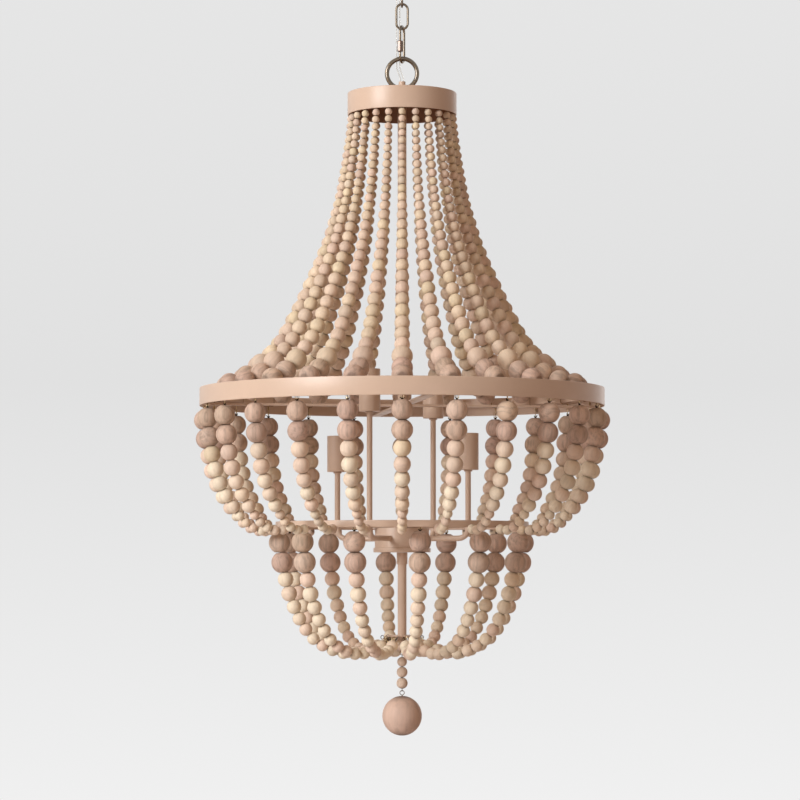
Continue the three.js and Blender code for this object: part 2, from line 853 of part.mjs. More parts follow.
const frame = new THREE.Group();
frame.add(piece("hanging_loop", brassFinish, hangingLoop()));
frame.add(piece("cap_band", frameFinish, capBand()));
frame.add(piece("centre_stem", frameFinish, centreStem()));
frame.add(facing(piece("main_ring", frameFinish, mainRing()), spiderAngle));
frame.add(facing(piece("ring_spider", frameFinish, ringSpider()), spiderAngle));
frame.add(facing(piece("lower_ring", frameFinish, lowerRing()), spokeAngle));
frame.add(piece("hub_canister", frameFinish, hubCanister()));
frame.add(piece("lower_stem", frameFinish, lowerStem()));

for (let i = 0; i < 4; i++) {
  const tall = i % 2 === 0;
  const rise = tall ? tallCoverRise : shortCoverRise;
  const height = tall ? tallCoverHeight : shortCoverHeight;
  const angle = firstArmAngle + (i * Math.PI) / 2;
  frame.add(facing(piece(`candle_arm_${i + 1}`, frameFinish, candleArm(rise)), angle));
  const cover = piece(`socket_cover_${i + 1}`, frameFinish, socketCover(rise, height));
  const socket = piece(`lamp_socket_${i + 1}`, socketFinish, lampSocket(rise, height));
  frame.add(facing(cover, angle), facing(socket, angle));
}

const strands = new THREE.Group();
const strand = solidOf(mainStrand());
for (let i = 0; i < strandCount; i++) {
  const name = `bead_strand_${String(i + 1).padStart(2, "0")}`;
  strands.add(facing(piece(name, woodFinish, strand), (i * 2 * Math.PI) / strandCount));
}
const pair = lowerPair();
for (let i = 0; i < lowerPairCount; i++) {
  const angle = lowerTierAngle + ((i + 0.25) * 2 * Math.PI) / lowerPairCount;
  strands.add(facing(piece(`lower_strand_pair_${i + 1}`, woodFinish, pair), angle));
}

const drop = new THREE.Group();
drop.add(piece("drop_beads", woodFinish, dropBeads()));
drop.add(piece("drop_ball", largeWoodFinish, dropBall()));

chandelier.add(ceiling, chain, frame, strands, drop);

export default chandelier;
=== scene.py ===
import math
import random

import bpy
import numpy as np
from mathutils import Matrix, Vector


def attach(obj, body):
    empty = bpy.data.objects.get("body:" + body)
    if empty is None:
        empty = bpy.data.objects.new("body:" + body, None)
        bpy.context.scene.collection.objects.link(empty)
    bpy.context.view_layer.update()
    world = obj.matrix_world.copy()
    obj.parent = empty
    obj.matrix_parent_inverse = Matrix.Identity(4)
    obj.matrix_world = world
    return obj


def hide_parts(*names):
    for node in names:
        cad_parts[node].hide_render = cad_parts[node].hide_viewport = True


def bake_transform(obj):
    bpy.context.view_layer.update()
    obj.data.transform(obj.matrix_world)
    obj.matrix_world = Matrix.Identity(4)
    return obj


# The looks of a beaded chandelier on a short chain. Sizes are millimetres in the part's own
# frame: the origin is in the ceiling, +Z points up and the front looks along -Y.
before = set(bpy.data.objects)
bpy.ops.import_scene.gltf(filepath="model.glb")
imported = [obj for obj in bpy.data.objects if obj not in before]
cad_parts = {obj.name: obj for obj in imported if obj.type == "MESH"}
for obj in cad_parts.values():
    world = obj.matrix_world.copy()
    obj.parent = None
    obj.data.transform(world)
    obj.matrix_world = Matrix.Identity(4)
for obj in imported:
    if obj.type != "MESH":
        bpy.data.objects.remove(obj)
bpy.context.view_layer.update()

MM = 0.001
SEED = 24

# ---- Sizes ----
CANOPY_RADIUS = 65
CANOPY_CROWN_RADIUS = 24
CANOPY_DEPTH = 30
CANOPY_WALL = 1.2
NIPPLE_RADIUS = 5
NIPPLE_BORE_RADIUS = 3.7
NIPPLE_BORE_DEPTH = 12.3
COLLAR_RADIUS = 8
COLLAR_TOP = -30.3
COLLAR_UNDERSIDE = -39.3
CANOPY_RING_MIDDLE = -49.26
CANOPY_RING_RADIUS = 12
CANOPY_RING_WIRE = 4
LINK_LENGTH = 40
LINK_WIDTH = 20
LINK_WIRE = 3.5
UPPER_LINK_TOP = -55.46
LOWER_LINK_TOP = -88.16
QUICK_LINK_TOP = -120.66
QUICK_LINK_LENGTH = 56
QUICK_LINK_WIDTH = 20.5
QUICK_LINK_WIRE = 3.7
QUICK_LINK_TURN = math.radians(70)
SLEEVE_UNDERSIDE = -160.91
SLEEVE_LENGTH = 16
SLEEVE_ACROSS_CORNERS = 8.8
LOOP_MIDDLE = -191.16
LOOP_RADIUS = 21.75
LOOP_BAR = 6.5
SHANK_RADIUS = 7.5
NIPPLE_TOP = -203.06
CAP_TOP = -220.46
CAP_UNDERSIDE = -251.96
CAP_RADIUS = 78.6
CAP_WALL = 2
STEM_RADIUS = 6.35
RING_TOP = -646.96
RING_UNDERSIDE = -672.66
RING_RADIUS = 290
RING_WEB = 16
RING_INNER_LIP = 12
RING_WALL = 2
SPIDER_WIDTH = 14
SPIDER_THICKNESS = 3
SPIDER_BOSS_RADIUS = 13
SPIDER_BOSS_HEIGHT = 8
SPIDER_ANGLE = math.radians(8)
HUB_TOP = -846.46
HUB_RADIUS = 39
FLANGE_RADIUS = 41
FLANGE_TOP = -875.16
FLANGE_UNDERSIDE = -881.46
LOWER_RING_RADIUS = 181
LOWER_RING_UNDERSIDE = -847.46
LOWER_RING_HEIGHT = 9.5
LOWER_RING_WALL = 2.5
SPOKE_WIDTH = 14
SPOKE_THICKNESS = 2.5
SPOKE_BOSS_RADIUS = 16
SPOKE_ANGLE = math.radians(19)
ARM_RADIUS = 4
ARM_REACH = 104
ARM_BEND = 17
ARM_LEVEL = HUB_TOP - 15.4
ARM_COLLAR_RADIUS = 6
ARM_COLLAR_HEIGHT = 2
ARM_TIP = 7
ARM_ANGLES = [math.radians(-26 + 90 * i) for i in range(4)]
COVER_FLOORS = [HUB_TOP + 161.7, HUB_TOP + 81.5]
COVER_HEIGHTS = [60, 52]
COVER_RADIUS = 15
COVER_WALL = 1.2
COVER_FLOOR = 2
SOCKET_RADIUS = 12
SOCKET_BORE_RADIUS = 7
SOCKET_BORE_DEPTH = 26
SOCKET_SINK = 5
COUPLER_RADIUS = 7.75
COUPLER_TOP = -881.76
COUPLER_UNDERSIDE = -898.46
COLLECTOR_TOP = -999.46
COLLECTOR_UNDERSIDE = -1001.46
COLLECTOR_RADIUS = 22
CUP_RADIUS = 9.5
CUP_MIDDLE = -1012.96
EYE_RADIUS = 3.15
EYE_WIRE = 1
CUP_EYE_MIDDLE = -1024.665
DROP_LOOP_RADIUS = 2.75
DROP_LOOP_MIDDLES = [-1029.265, -1076.865]
DROP_BEADS_TOP = -1030.465
DROP_BEAD_SIZES = [14, 15.5, 16]
BALL_EYE_MIDDLE = -1081.465
BALL_RADIUS = 28.2
BALL_MIDDLE = -1114.065
CLEARANCE = 0.3


# ---- Meshes ----
SHARP_EDGE = math.radians(40)


def toned(level):
    """A tint that is plain but for its first number."""
    return (level, 0.5, 0.5, 1.0)


PLAIN, DARK, DULL, PALE = toned(0.5), toned(0.0), toned(0.2), toned(1.0)


class Shape:
    """Corners and faces that grow into one mesh, with each bead's own place and tint."""

    def __init__(self):
        self.points, self.faces, self.local, self.tint, self.cells = [], [], [], [], []
        self.count = 0

    def add(self, points, faces, local=None, tint=None, cells=None):
        points = np.asarray(points, float)
        self.points.append(points)
        self.faces += [tuple(i + self.count for i in face) for face in faces]
        self.local.append(points if local is None else local)
        tint = PLAIN if tint is None else tint
        self.tint.append(np.broadcast_to(tint, (len(points), 4)))
        if cells is not None:
            self.cells.append(cells)
        self.count += len(points)
        return self

    def turned(self, angle):
        turn = np.array(Matrix.Rotation(angle, 3, "Z"))
        self.points = [p @ turn.T for p in self.points]
        return self

    def spun(self, outline, edge, sides, middle=(0, 0), closed=True):
        """Adds a body turned about Z whose outline gets rounded corners."""
        return self.add(*lathe(rounded(outline, edge, closed=closed), sides, middle))

    def wired(self, path, radius, sides, closed=False, tint=None):
        """Adds a round wire along a path."""
        return self.add(*sweep(path, radius, sides, closed), tint=tint)


def facing(angle):
    """The turn about Z for an angle that counts from the front towards +X."""
    return angle - math.pi / 2


def placed(name, data):
    """A new object in the scene."""
    made = bpy.data.objects.new(name, data)
    bpy.context.scene.collection.objects.link(made)
    return made


def bare_piece(name, shape, material):
    """A smooth object from a shape that keeps each corner's own place and tint."""
    mesh = bpy.data.meshes.new(name)
    mesh.from_pydata(np.concatenate(shape.points) * MM, [], shape.faces)
    mesh.update()
    mesh.shade_smooth()
    local = mesh.attributes.new("bead_place", "FLOAT_VECTOR", "POINT")
    local.data.foreach_set("vector", np.concatenate(shape.local).astype(np.float32).ravel())
    tint = mesh.attributes.new("bead_tint", "FLOAT_COLOR", "POINT")
    tint.data.foreach_set("color", np.concatenate(shape.tint).astype(np.float32).ravel())
    mesh.materials.append(material)
    return placed(name, mesh)


def finished(name, shape, material, body, replaces=()):
    """One piece of the scene from a shape, riding on its body."""
    made = bare_piece(name, shape, material)
    mesh = made.data
    mesh.set_sharp_from_angle(angle=SHARP_EDGE)
    if shape.cells and sum(map(len, shape.cells)) == len(mesh.loops):
        cells = mesh.uv_layers.new(name="OFBake")
        cells.data.foreach_set("uv", np.concatenate(shape.cells).astype(np.float32).ravel())
    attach(made, body)
    if replaces:
        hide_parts(*replaces)
    return made


def grid_faces(rows, sides, closed_rows=False):
    faces = []
    for i in range(rows if closed_rows else rows - 1):
        low, high = i * sides, ((i + 1) % rows) * sides
        for k in range(sides):
            beside = (k + 1) % sides
            faces.append((low + k, low + beside, high + beside, high + k))
    return faces


def lathe(outline, sides, middle=(0, 0)):
    """A body turned about Z. The outline's [radius, height] points run up the outside; one that
    starts and ends on the axis is capped there, and any other closes on itself."""
    on_axis = outline[0][0] == 0
    body = outline[1:-1] if on_axis else outline
    turns = np.arange(sides) * 2 * math.pi / sides
    ring = np.stack([np.cos(turns), np.sin(turns)], 1)
    points = [
        np.column_stack([ring * r + np.array(middle), np.full(sides, z)]) for r, z in body
    ]
    faces = grid_faces(len(body), sides, not on_axis)
    if on_axis:
        last = (len(body) - 1) * sides
        foot, top = len(body) * sides, len(body) * sides + 1
        points.append(np.array([[*middle, outline[0][1]], [*middle, outline[-1][1]]]))
        for k in range(sides):
            beside = (k + 1) % sides
            faces += [(foot, beside, k), (top, last + k, last + beside)]
    return np.concatenate(points), faces


def rounded(outline, radius, steps=3, closed=True):
    """The outline with its corners rounded."""
    made = []
    count = len(outline)
    for i, point in enumerate(outline):
        if not closed and i in (0, count - 1):
            made.append(tuple(point))
            continue
        here = Vector(point)
        before, after = Vector(outline[i - 1]), Vector(outline[(i + 1) % count])
        reach = min(radius, (before - here).length * 0.45, (after - here).length * 0.45)
        start = here + (before - here).normalized() * reach
        end = here + (after - here).normalized() * reach
        for k in range(steps + 1):
            t = k / steps
            bend = start * (1 - t) ** 2 + here * 2 * t * (1 - t) + end * t**2
            made.append((bend.x, bend.y))
    return made


def sweep(path, radius, sides, closed=False):
    """A round wire or tube along a path of points."""
    path = [Vector(p) for p in path]
    count = len(path)
    ways = []
    for i in range(count):
        before = path[i - 1] if closed or i else path[0]
        after = path[(i + 1) % count] if closed or i < count - 1 else path[-1]
        ways.append((after - before).normalized())
    up = ways[0].orthogonal().normalized()
    frames = []
    for i, way in enumerate(ways):
        if i:
            up = (ways[i - 1].rotation_difference(way) @ up).normalized()
        frames.append((up.copy(), way.cross(up).normalized()))
    twist = 0.0
    if closed:
        first = frames[0][0]
        last = (ways[-1].rotation_difference(ways[0]) @ frames[-1][0]).normalized()
        twist = math.atan2(last.cross(first).dot(ways[0]), last.dot(first))
    points = []
    radii = radius if isinstance(radius, (list, tuple)) else [radius] * count
    for i, (u, v) in enumerate(frames):
        for k in range(sides):
            turn = 2 * math.pi * k / sides + twist * i / count
            points.append(path[i] + u * radii[i] * math.cos(turn) + v * radii[i] * math.sin(turn))
    faces = grid_faces(count, sides, closed)
    if not closed:
        faces.append(tuple(reversed(range(sides))))
        faces.append(tuple(range((count - 1) * sides, count * sides)))
    return np.array([tuple(p) for p in points]), faces


def all_round(steps):
    """Evenly spaced angles of a full turn."""
    return [2 * math.pi * k / steps for k in range(steps)]


def circle(radius, height, steps, plane="XZ"):
    """A ring of points that stands in the XZ or YZ plane."""
    across = [(radius * math.cos(t), height + radius * math.sin(t)) for t in all_round(steps)]
    return [(a, 0, z) if plane == "XZ" else (0, a, z) for a, z in across]


def box(inner, outer, low, high):
    """The outline of a plain ring or bar."""
    return [(inner, low), (outer, low), (outer, high), (inner, high)]


# ---- Materials ----
def colour(red, green, blue):
    """A screen colour of 0 to 255 as the linear colour that shaders take."""
    return tuple(
        c / 12.92 if c <= 0.04045 else ((c + 0.055) / 1.055) ** 2.4
        for c in (red / 255, green / 255, blue / 255)
    ) + (1.0,)


class Nodes:
    """A node tree that is made one call at a time."""

    def __init__(self, tree):
        self.tree = tree
        tree.nodes.clear()

    def add(self, kind, settings=None, **inputs):
        node = self.tree.nodes.new("ShaderNode" + kind)
        for key, value in (settings or {}).items():
            setattr(node, key, value)
        for key, value in inputs.items():
            self.put(node.inputs[key.replace("_", " ")], value)
        return node

    def put(self, socket, value):
        if isinstance(value, bpy.types.NodeSocket):
            self.tree.links.new(value, socket)
        else:
            socket.default_value = value

    def maths(self, operation, a, b=0.0):
        node = self.add("Math", {"operation": operation})
        self.put(node.inputs[0], a)
        self.put(node.inputs[1], b)
        return node.outputs[0]

    def ramp(self, value, stops):
        node = self.add("ValToRGB", Fac=value)
        elements = node.color_ramp.elements
        while len(elements) < len(stops):
            elements.new(0.5)
        for element, (position, shade) in zip(elements, stops):
            element.position = position
            element.color = shade if isinstance(shade, tuple) else (shade, shade, shade, 1.0)
        return node.outputs["Color"]

    def mixed(self, factor, a, b, blend="MIX"):
        node = self.add("Mix", {"data_type": "RGBA", "blend_type": blend})
        self.put(node.inputs[0], factor)
        self.put(node.inputs[6], a)
        self.put(node.inputs[7], b)
        return node.outputs[2]

    def shaded(self, base, *factors):
        """The base colour times each factor."""
        for factor in factors:
            base = self.mixed(1.0, base, factor, "MULTIPLY")
        return base

    def ranged(self, value, low, high):
        """The number brought from its own range to the range 0 to 1."""
        return self.add("MapRange", Value=value, From_Min=low, From_Max=high).outputs[0]

    def straight_rays(self):
        """One for rays that show a thing to the camera, straight, mirrored or through glass."""
        path = self.add("LightPath").outputs
        summed = path["Is Camera Ray"]
        for name in ("Is Glossy Ray", "Is Transmission Ray"):
            summed = self.maths("MAXIMUM", summed, path[name])
        return summed


class Finish(Nodes):
    """A material with one principled shader."""

    def __init__(self, name):
        self.material = bpy.data.materials.new(name)
        self.material.use_nodes = True
        super().__init__(self.material.node_tree)
        output = self.add("OutputMaterial")
        self.shader = self.add("BsdfPrincipled")
        self.put(output.inputs[0], self.shader.outputs[0])

    def set(self, **inputs):
        for key, value in inputs.items():
            self.put(self.shader.inputs[key.replace("_", " ")], value)
        return self

    def attribute(self, name, output):
        return self.add("Attribute", {"attribute_name": name}).outputs[output]

    def tints(self):
        return self.add("SeparateColor", Color=self.attribute("bead_tint", "Color")).outputs

    def place(self):
        return self.add("TexCoord").outputs["Object"]

    def scaled(self, vector, x, y, z):
        node = self.add("VectorMath", {"operation": "MULTIPLY"})
        self.put(node.inputs[0], vector)
        node.inputs[1].default_value = (x, y, z)
        return node.outputs[0]

    def moved(self, vector, amount):
        """The vector moved by a number along every axis."""
        node = self.add("VectorMath", {"operation": "ADD"})
        self.put(node.inputs[0], vector)
        self.put(node.inputs[1], amount)
        return node.outputs[0]

    def turned_over(self, vector, factor):
        """The vector with its X and Z exchanged where the factor is 1."""
        axes = self.add("SeparateXYZ", Vector=vector).outputs
        turned = self.add("CombineXYZ", X=axes[2], Y=axes[1], Z=axes[0]).outputs[0]
        node = self.add("Mix", {"data_type": "VECTOR"})
        self.put(node.inputs[0], factor)
        self.put(node.inputs[4], vector)
        self.put(node.inputs[5], turned)
        return node.outputs[1]

    def noise(self, vector, scale, detail=3.0, roughness=0.5, distortion=0.0):
        return self.add(
            "TexNoise", Vector=vector, Scale=scale, Detail=detail, Roughness=roughness,
            Distortion=distortion,
        ).outputs["Fac"]

    def bumped(self, height, strength, distance):
        node = self.add("Bump", Height=height, Strength=strength, Distance=distance)
        self.put(self.shader.inputs["Normal"], node.outputs[0])
        return self


CROSS_GRAIN_FROM = 0.82
GRAIN_SHIFT = 60.0
HUES_AT = (0.0, 0.3, 0.52, 0.8)


def wood(name, hues, darkest, grain, fine):
    """Turned wood whose grain runs along the wire through most beads and across it in the rest.
    hues are its yellowest, plainest, pinkest and palest shades."""
    made = Finish(name)
    place = made.attribute("bead_place", "Vector")
    tint = made.tints()
    grained = made.turned_over(place, made.maths("GREATER_THAN", tint[2], CROSS_GRAIN_FROM))
    moved = made.moved(grained, made.maths("MULTIPLY", tint[2], GRAIN_SHIFT))
    stripes = made.noise(made.scaled(moved, 1.0, 1.0, 0.10), 3.1, 3.0, 0.5, 0.35)
    lines = made.noise(made.scaled(moved, 1.0, 1.0, 0.045), 17.0, 3.0, 0.6, 0.2)
    clouds = made.noise(moved, 1.1, 2.0)
    # Each bead is darker towards both ends, where it meets its neighbours: painted shade between
    # the beads.
    along = made.maths("ABSOLUTE", made.add("SeparateXYZ", Vector=place).outputs[2])
    base = made.shaded(
        made.ramp(tint[1], [(at, colour(*hue)) for at, hue in zip(HUES_AT, hues)]),
        made.ramp(tint[0], [(0.0, darkest), (1.0, 1.0)]),
        made.ramp(stripes, [(0.34, 1.0 - grain), (0.5, 1.0 - grain * 0.3), (0.64, 1.0)]),
        made.ramp(lines, [(0.30, 1.0 - fine), (0.5, 1.0), (0.8, 1.0)]),
        made.ramp(clouds, [(0.32, 0.94), (0.66, 1.0)]),
        made.ramp(along, [(0.70, 1.0), (0.86, 0.84), (0.92, 0.56), (1.0, 0.3)]),
    )
    rough = made.ramp(lines, [(0.3, 0.66), (0.7, 0.52)])
    made.set(Base_Color=base, Roughness=rough, Specular_IOR_Level=0.3)
    made.bumped(made.maths("ADD", lines, made.maths("MULTIPLY", stripes, 0.5)), 0.2, 0.0002)
    return made.material


def painted(name, shade, roughness):
    """Satin paint on metal, with a faint orange peel and a little dust. It is darker where the
    tint is low, which paints the shade inside the cap."""
    made = Finish(name)
    place = made.place()
    peel = made.noise(place, 900.0, 2.0)
    cloud = made.noise(place, 14.0, 4.0, 0.6)
    speck = made.noise(place, 2600.0, 1.0)
    base = made.shaded(
        shade,
        made.ramp(cloud, [(0.3, 0.95), (0.7, 1.03)]),
        made.ramp(speck, [(0.25, 0.9), (0.4, 1.0)]),
        # A low tint darkens the paint towards this colour: painted shade.
        made.ramp(made.tints()[0], [(0.0, colour(182, 152, 130)), (0.5, 1.0)]),
    )
    rough = made.ramp(cloud, [(0.25, roughness + 0.05), (0.75, roughness - 0.05)])
    made.set(Base_Color=base, Roughness=rough, Specular_IOR_Level=0.5)
    made.bumped(peel, 0.06, 0.0004)
    return made.material


def bare_metal(name, bright, dull, roughness, brush, coat=0.0):
    """Metal with tarnish in patches and fine brushed lines. coat is its clear lacquer."""
    made = Finish(name)
    place = made.place()
    tarnish = made.noise(place, 130.0, 5.0, 0.65)
    lines = made.noise(made.scaled(place, *brush), 1.0, 3.0, 0.7)
    base = made.mixed(made.ramp(tarnish, [(0.38, 0.0), (0.72, 0.85)]), bright, dull)
    rough = made.ramp(lines, [(0.2, roughness + 0.12), (0.8, roughness - 0.08)])
    made.set(
        Base_Color=base, Roughness=rough, Metallic=1.0, Coat_Weight=coat, Coat_Roughness=0.1,
        Coat_IOR=1.8,
    )
    made.bumped(lines, 0.12, 0.0002)
    return made.material


def hook_wire():
    """Thin wire, dark in its knots and pale gold where the tint is high. The dark stands in for
    dark reflections and the pale gold for glints: painted reflection and highlight, on top of some
    tarnish.
    """
    made = Finish("hook_wire")
    tarnish = made.noise(made.place(), 400.0, 3.0, 0.6)
    base = made.shaded(made.ramp(made.tints()[0], [
        (0.0, colour(52, 36, 26)), (0.5, colour(150, 118, 82)), (1.0, colour(226, 202, 160)),
    ]), made.ramp(tarnish, [(0.3, 0.7), (0.7, 1.0)]))
    rough = made.ramp(tarnish, [(0.2, 0.42), (0.8, 0.28)])
    made.set(Base_Color=base, Roughness=rough, Metallic=1.0)
    return made.bumped(tarnish, 0.1, 0.0002).material


def ceramic_finish():
    made = Finish("socket_ceramic")
    place = made.place()
    cloud = made.noise(place, 60.0, 4.0)
    base = made.mixed(cloud, colour(214, 205, 188), colour(234, 228, 216))
    rough = made.ramp(cloud, [(0.3, 0.55), (0.7, 0.4)])
    made.set(Base_Color=base, Roughness=rough, Specular_IOR_Level=0.45)
    return made.bumped(made.noise(place, 500.0), 0.1, 0.0003).material


def clear_finish():
    """Clear insulation, faintly clouded."""
    made = Finish("cord_clear")
    cloud = made.noise(made.place(), 220.0, 3.0)
    made.set(
        Base_Color=made.mixed(cloud, colour(236, 232, 226), colour(250, 248, 244)),
        Roughness=made.ramp(cloud, [(0.3, 0.2), (0.7, 0.28)]), IOR=1.12,
        Transmission_Weight=1.0,
    )
    return made.material


small_wood = wood(
    "bead_wood", ((247, 230, 198), (245, 225, 200), (242, 217, 198), (249, 236, 212)),
    0.76, 0.11, 0.06,
)
large_wood = wood(
    "large_wood", ((231, 206, 181), (228, 201, 180), (223, 193, 176), (230, 206, 186)),
    0.76, 0.32, 0.13,
)
ball_wood = wood(
    "ball_wood", ((227, 201, 180), (226, 198, 180), (222, 193, 176), (226, 200, 184)),
    0.88, 0.17, 0.05,
)
paint = painted("frame_paint", colour(215, 190, 169), 0.36)
brass = bare_metal("antique_brass", colour(104, 84, 54), colour(66, 51, 33), 0.3,
                   (900.0, 900.0, 120.0), coat=1.0)
sleeve_brass = bare_metal("sleeve_brass", colour(96, 62, 34), colour(62, 40, 24), 0.34,
                          (900.0, 900.0, 120.0), coat=0.8)
wire_metal = hook_wire()
steel = bare_metal("strap_steel", colour(188, 188, 184), colour(150, 150, 148), 0.36,
                   (30.0, 1200.0, 1200.0))
tinned = painted("cord_strand", colour(178, 176, 174), 0.8)
ceramic = ceramic_finish()
clear = clear_finish()


# ---- Ceiling fitting ----
def dome(radius, depth, crown, steps=16):
    reach = radius - crown
    turns = [math.pi / 2 * i / steps for i in range(steps + 1)]
    return [(crown + reach * math.cos(t), -depth * math.sin(t)) for t in turns]


def make_ceiling_fitting():
    outer = dome(CANOPY_RADIUS, CANOPY_DEPTH, CANOPY_CROWN_RADIUS)
    inner = dome(CANOPY_RADIUS - CANOPY_WALL, CANOPY_DEPTH - CANOPY_WALL, CANOPY_CROWN_RADIUS)
    bore = NIPPLE_RADIUS + CLEARANCE
    rim = [(bore, -CANOPY_DEPTH)] + outer[::-1] + inner + [(bore, -CANOPY_DEPTH + CANOPY_WALL)]
    canopy = Shape().add(*lathe(rim, 96))
    finished("canopy_shell", canopy, paint, "ceiling_fitting", ["ceiling_canopy"])

    barrel = [
        (bore, COLLAR_UNDERSIDE), (COLLAR_RADIUS - 1.5, COLLAR_UNDERSIDE),
        (COLLAR_RADIUS - 0.6, COLLAR_UNDERSIDE + 2.4), (COLLAR_RADIUS, COLLAR_UNDERSIDE + 3),
        (COLLAR_RADIUS, COLLAR_TOP), (bore, COLLAR_TOP),
    ]
    loop = Shape().spun(barrel, 0.5, 40)
    ring = circle(CANOPY_RING_RADIUS, CANOPY_RING_MIDDLE, 56)
    loop.wired(ring, CANOPY_RING_WIRE / 2, 16, True)
    finished("canopy_ring", loop, brass, "ceiling_fitting", ["canopy_loop"])


make_ceiling_fitting()


# ---- Chain ----
LINK_STEPS = 14
LEG_SHARES = [0.25, 0.5, 0.75]


def link_path(top, length, width, wire):
    """An oval link in the XZ plane, from the right end of its upper bend round to the left leg."""
    bend = (width - wire) / 2
    upper = top - wire / 2 - bend
    lower = top - length + wire / 2 + bend
    turns = [math.pi * i / LINK_STEPS for i in range(LINK_STEPS + 1)]
    over = [(bend * math.cos(t), 0, upper + bend * math.sin(t)) for t in turns]
    under = [(-bend * math.cos(t), 0, lower - bend * math.sin(t)) for t in turns]
    down = [(-bend, 0, upper + (lower - upper) * share) for share in LEG_SHARES]
    rise = [(bend, 0, lower + (upper - lower) * share) for share in LEG_SHARES]
    return over + down + under + rise


def chain_link(name, top, angle, body):
    path = link_path(top, LINK_LENGTH, LINK_WIDTH, LINK_WIRE)
    seam = (LINK_WIDTH - LINK_WIRE) / 2
    middle = top - LINK_LENGTH / 2
    radii = [
        LINK_WIRE / 2 * (0.97 if x > seam * 0.9 and abs(z - middle) < 1 else 1.0)
        for x, _, z in path
    ]
    link = Shape().wired(path, radii, 16, True).turned(angle)
    finished(name + "_wire", link, brass, body, [name])


NUT_ROWS = ((0.0, 0.94), (0.05, 1.03), (0.11, 1.16), (0.89, 1.16), (0.95, 1.03), (1.0, 0.94))


def hex_nut(middle, low, high, across_corners, bore, sides=72):
    """A six-sided sleeve with turned, chamfered ends and a plain bore."""
    flat = across_corners / 2 * math.cos(math.pi / 6)
    turns = all_round(sides)
    points = []
    for share, limit in NUT_ROWS:
        height = low + (high - low) * share
        for turn in turns:
            hexagon = flat / math.cos((turn + math.pi / 6) % (math.pi / 3) - math.pi / 6)
            reach = min(hexagon, flat * limit)
            points.append((middle + reach * math.cos(turn), reach * math.sin(turn), height))
    for height in (high, low):
        points += [(middle + bore * math.cos(t), bore * math.sin(t), height) for t in turns]
    return np.array(points), grid_faces(len(NUT_ROWS) + 2, sides, True)


THREAD_STEPS = 24


def make_quick_link():
    bend = (QUICK_LINK_WIDTH - QUICK_LINK_WIRE) / 2
    path = link_path(QUICK_LINK_TOP, QUICK_LINK_LENGTH, QUICK_LINK_WIDTH, QUICK_LINK_WIRE)
    leg_end = LINK_STEPS + 1 + len(LEG_SHARES)
    rise_start = leg_end + LINK_STEPS + 1
    over, under, right = path[: LINK_STEPS + 1], path[leg_end:rise_start], path[rise_start:]
    gap_low = SLEEVE_UNDERSIDE + 1.5
    low_leg = [(-bend, 0, gap_low), (-bend, 0, gap_low - 3)]
    high_leg = [(-bend, 0, over[-1][2] - 6), (-bend, 0, gap_low + 9), (-bend, 0, gap_low + 6)]
    wire = Shape().wired(low_leg + under + right + over + high_leg, QUICK_LINK_WIRE / 2, 16)
    thread = [(-bend, 0, gap_low + 6 + 0.5 * i) for i in range(THREAD_STEPS)]
    radii = [QUICK_LINK_WIRE / 2 + (0.12 if i % 2 else -0.05) for i in range(THREAD_STEPS)]
    wire.wired(thread, radii, 16)
    wire.turned(QUICK_LINK_TURN)
    finished("quick_link_wire", wire, brass, "quick_link", ["quick_link"])
    nut = Shape().add(*hex_nut(
        -bend, SLEEVE_UNDERSIDE, SLEEVE_UNDERSIDE + SLEEVE_LENGTH, SLEEVE_ACROSS_CORNERS,
        QUICK_LINK_WIRE / 2 + CLEARANCE,
    )).turned(QUICK_LINK_TURN)
    sleeve = "quick_link_sleeve"
    finished("sleeve_nut", nut, sleeve_brass, sleeve, [sleeve])


chain_link("upper_link", UPPER_LINK_TOP, math.pi / 2, "upper_link")
chain_link("lower_link", LOWER_LINK_TOP, 0.0, "lower_link")
make_quick_link()


# ---- Hanging loop, cap and stem ----
def frame_piece(name, shape, node):
    """A painted piece of the fixture that stands in for one CAD node."""
    finished(name, shape, paint, "fixture", [node])


def make_top():
    bore = NIPPLE_RADIUS + CLEARANCE
    loop = Shape().wired(circle(LOOP_RADIUS, LOOP_MIDDLE, 96), LOOP_BAR / 2, 20, True)
    underside = LOOP_MIDDLE - LOOP_RADIUS - LOOP_BAR / 2
    top = underside + LOOP_BAR - 0.5
    shank = [
        (bore, CAP_TOP + CLEARANCE), (SHANK_RADIUS, CAP_TOP + CLEARANCE),
        (SHANK_RADIUS, underside + 1), (SHANK_RADIUS - 0.8, top), (bore, top),
    ]
    loop.spun(shank, 0.6, 48)
    finished("loop_bar", loop, brass, "fixture", ["hanging_loop"])

    inside = CAP_RADIUS - CAP_WALL
    band = [
        (bore, CAP_TOP - CAP_WALL), (inside, CAP_TOP - CAP_WALL), (inside, CAP_UNDERSIDE),
        (CAP_RADIUS, CAP_UNDERSIDE), (CAP_RADIUS, CAP_TOP), (bore, CAP_TOP),
    ]
    points, faces = lathe(rounded(band, 0.8), 144)
    reach = np.hypot(points[:, 0], points[:, 1])
    # The faces inside the cap, under its top, get the dark tint: painted shade.
    shaded_inside = (reach < inside + 0.1) & (points[:, 2] < CAP_TOP - CAP_WALL + 0.1)
    cap = Shape().add(points, faces, tint=np.where(shaded_inside[:, None], DARK, PLAIN))
    frame_piece("cap_shell", cap, "cap_band")

    neck = CAP_TOP - CAP_WALL - 1
    stem = [
        (0, HUB_TOP + CLEARANCE), (STEM_RADIUS, HUB_TOP + CLEARANCE), (STEM_RADIUS, neck + 0.7),
        (NIPPLE_RADIUS, neck + 0.7), (NIPPLE_RADIUS, NIPPLE_TOP), (NIPPLE_BORE_RADIUS, NIPPLE_TOP),
        (NIPPLE_BORE_RADIUS, NIPPLE_TOP - NIPPLE_BORE_DEPTH), (0, NIPPLE_TOP - NIPPLE_BORE_DEPTH),
    ]
    frame_piece("centre_tube", Shape().spun(stem, 0.4, 40, closed=False), "centre_stem")


make_top()


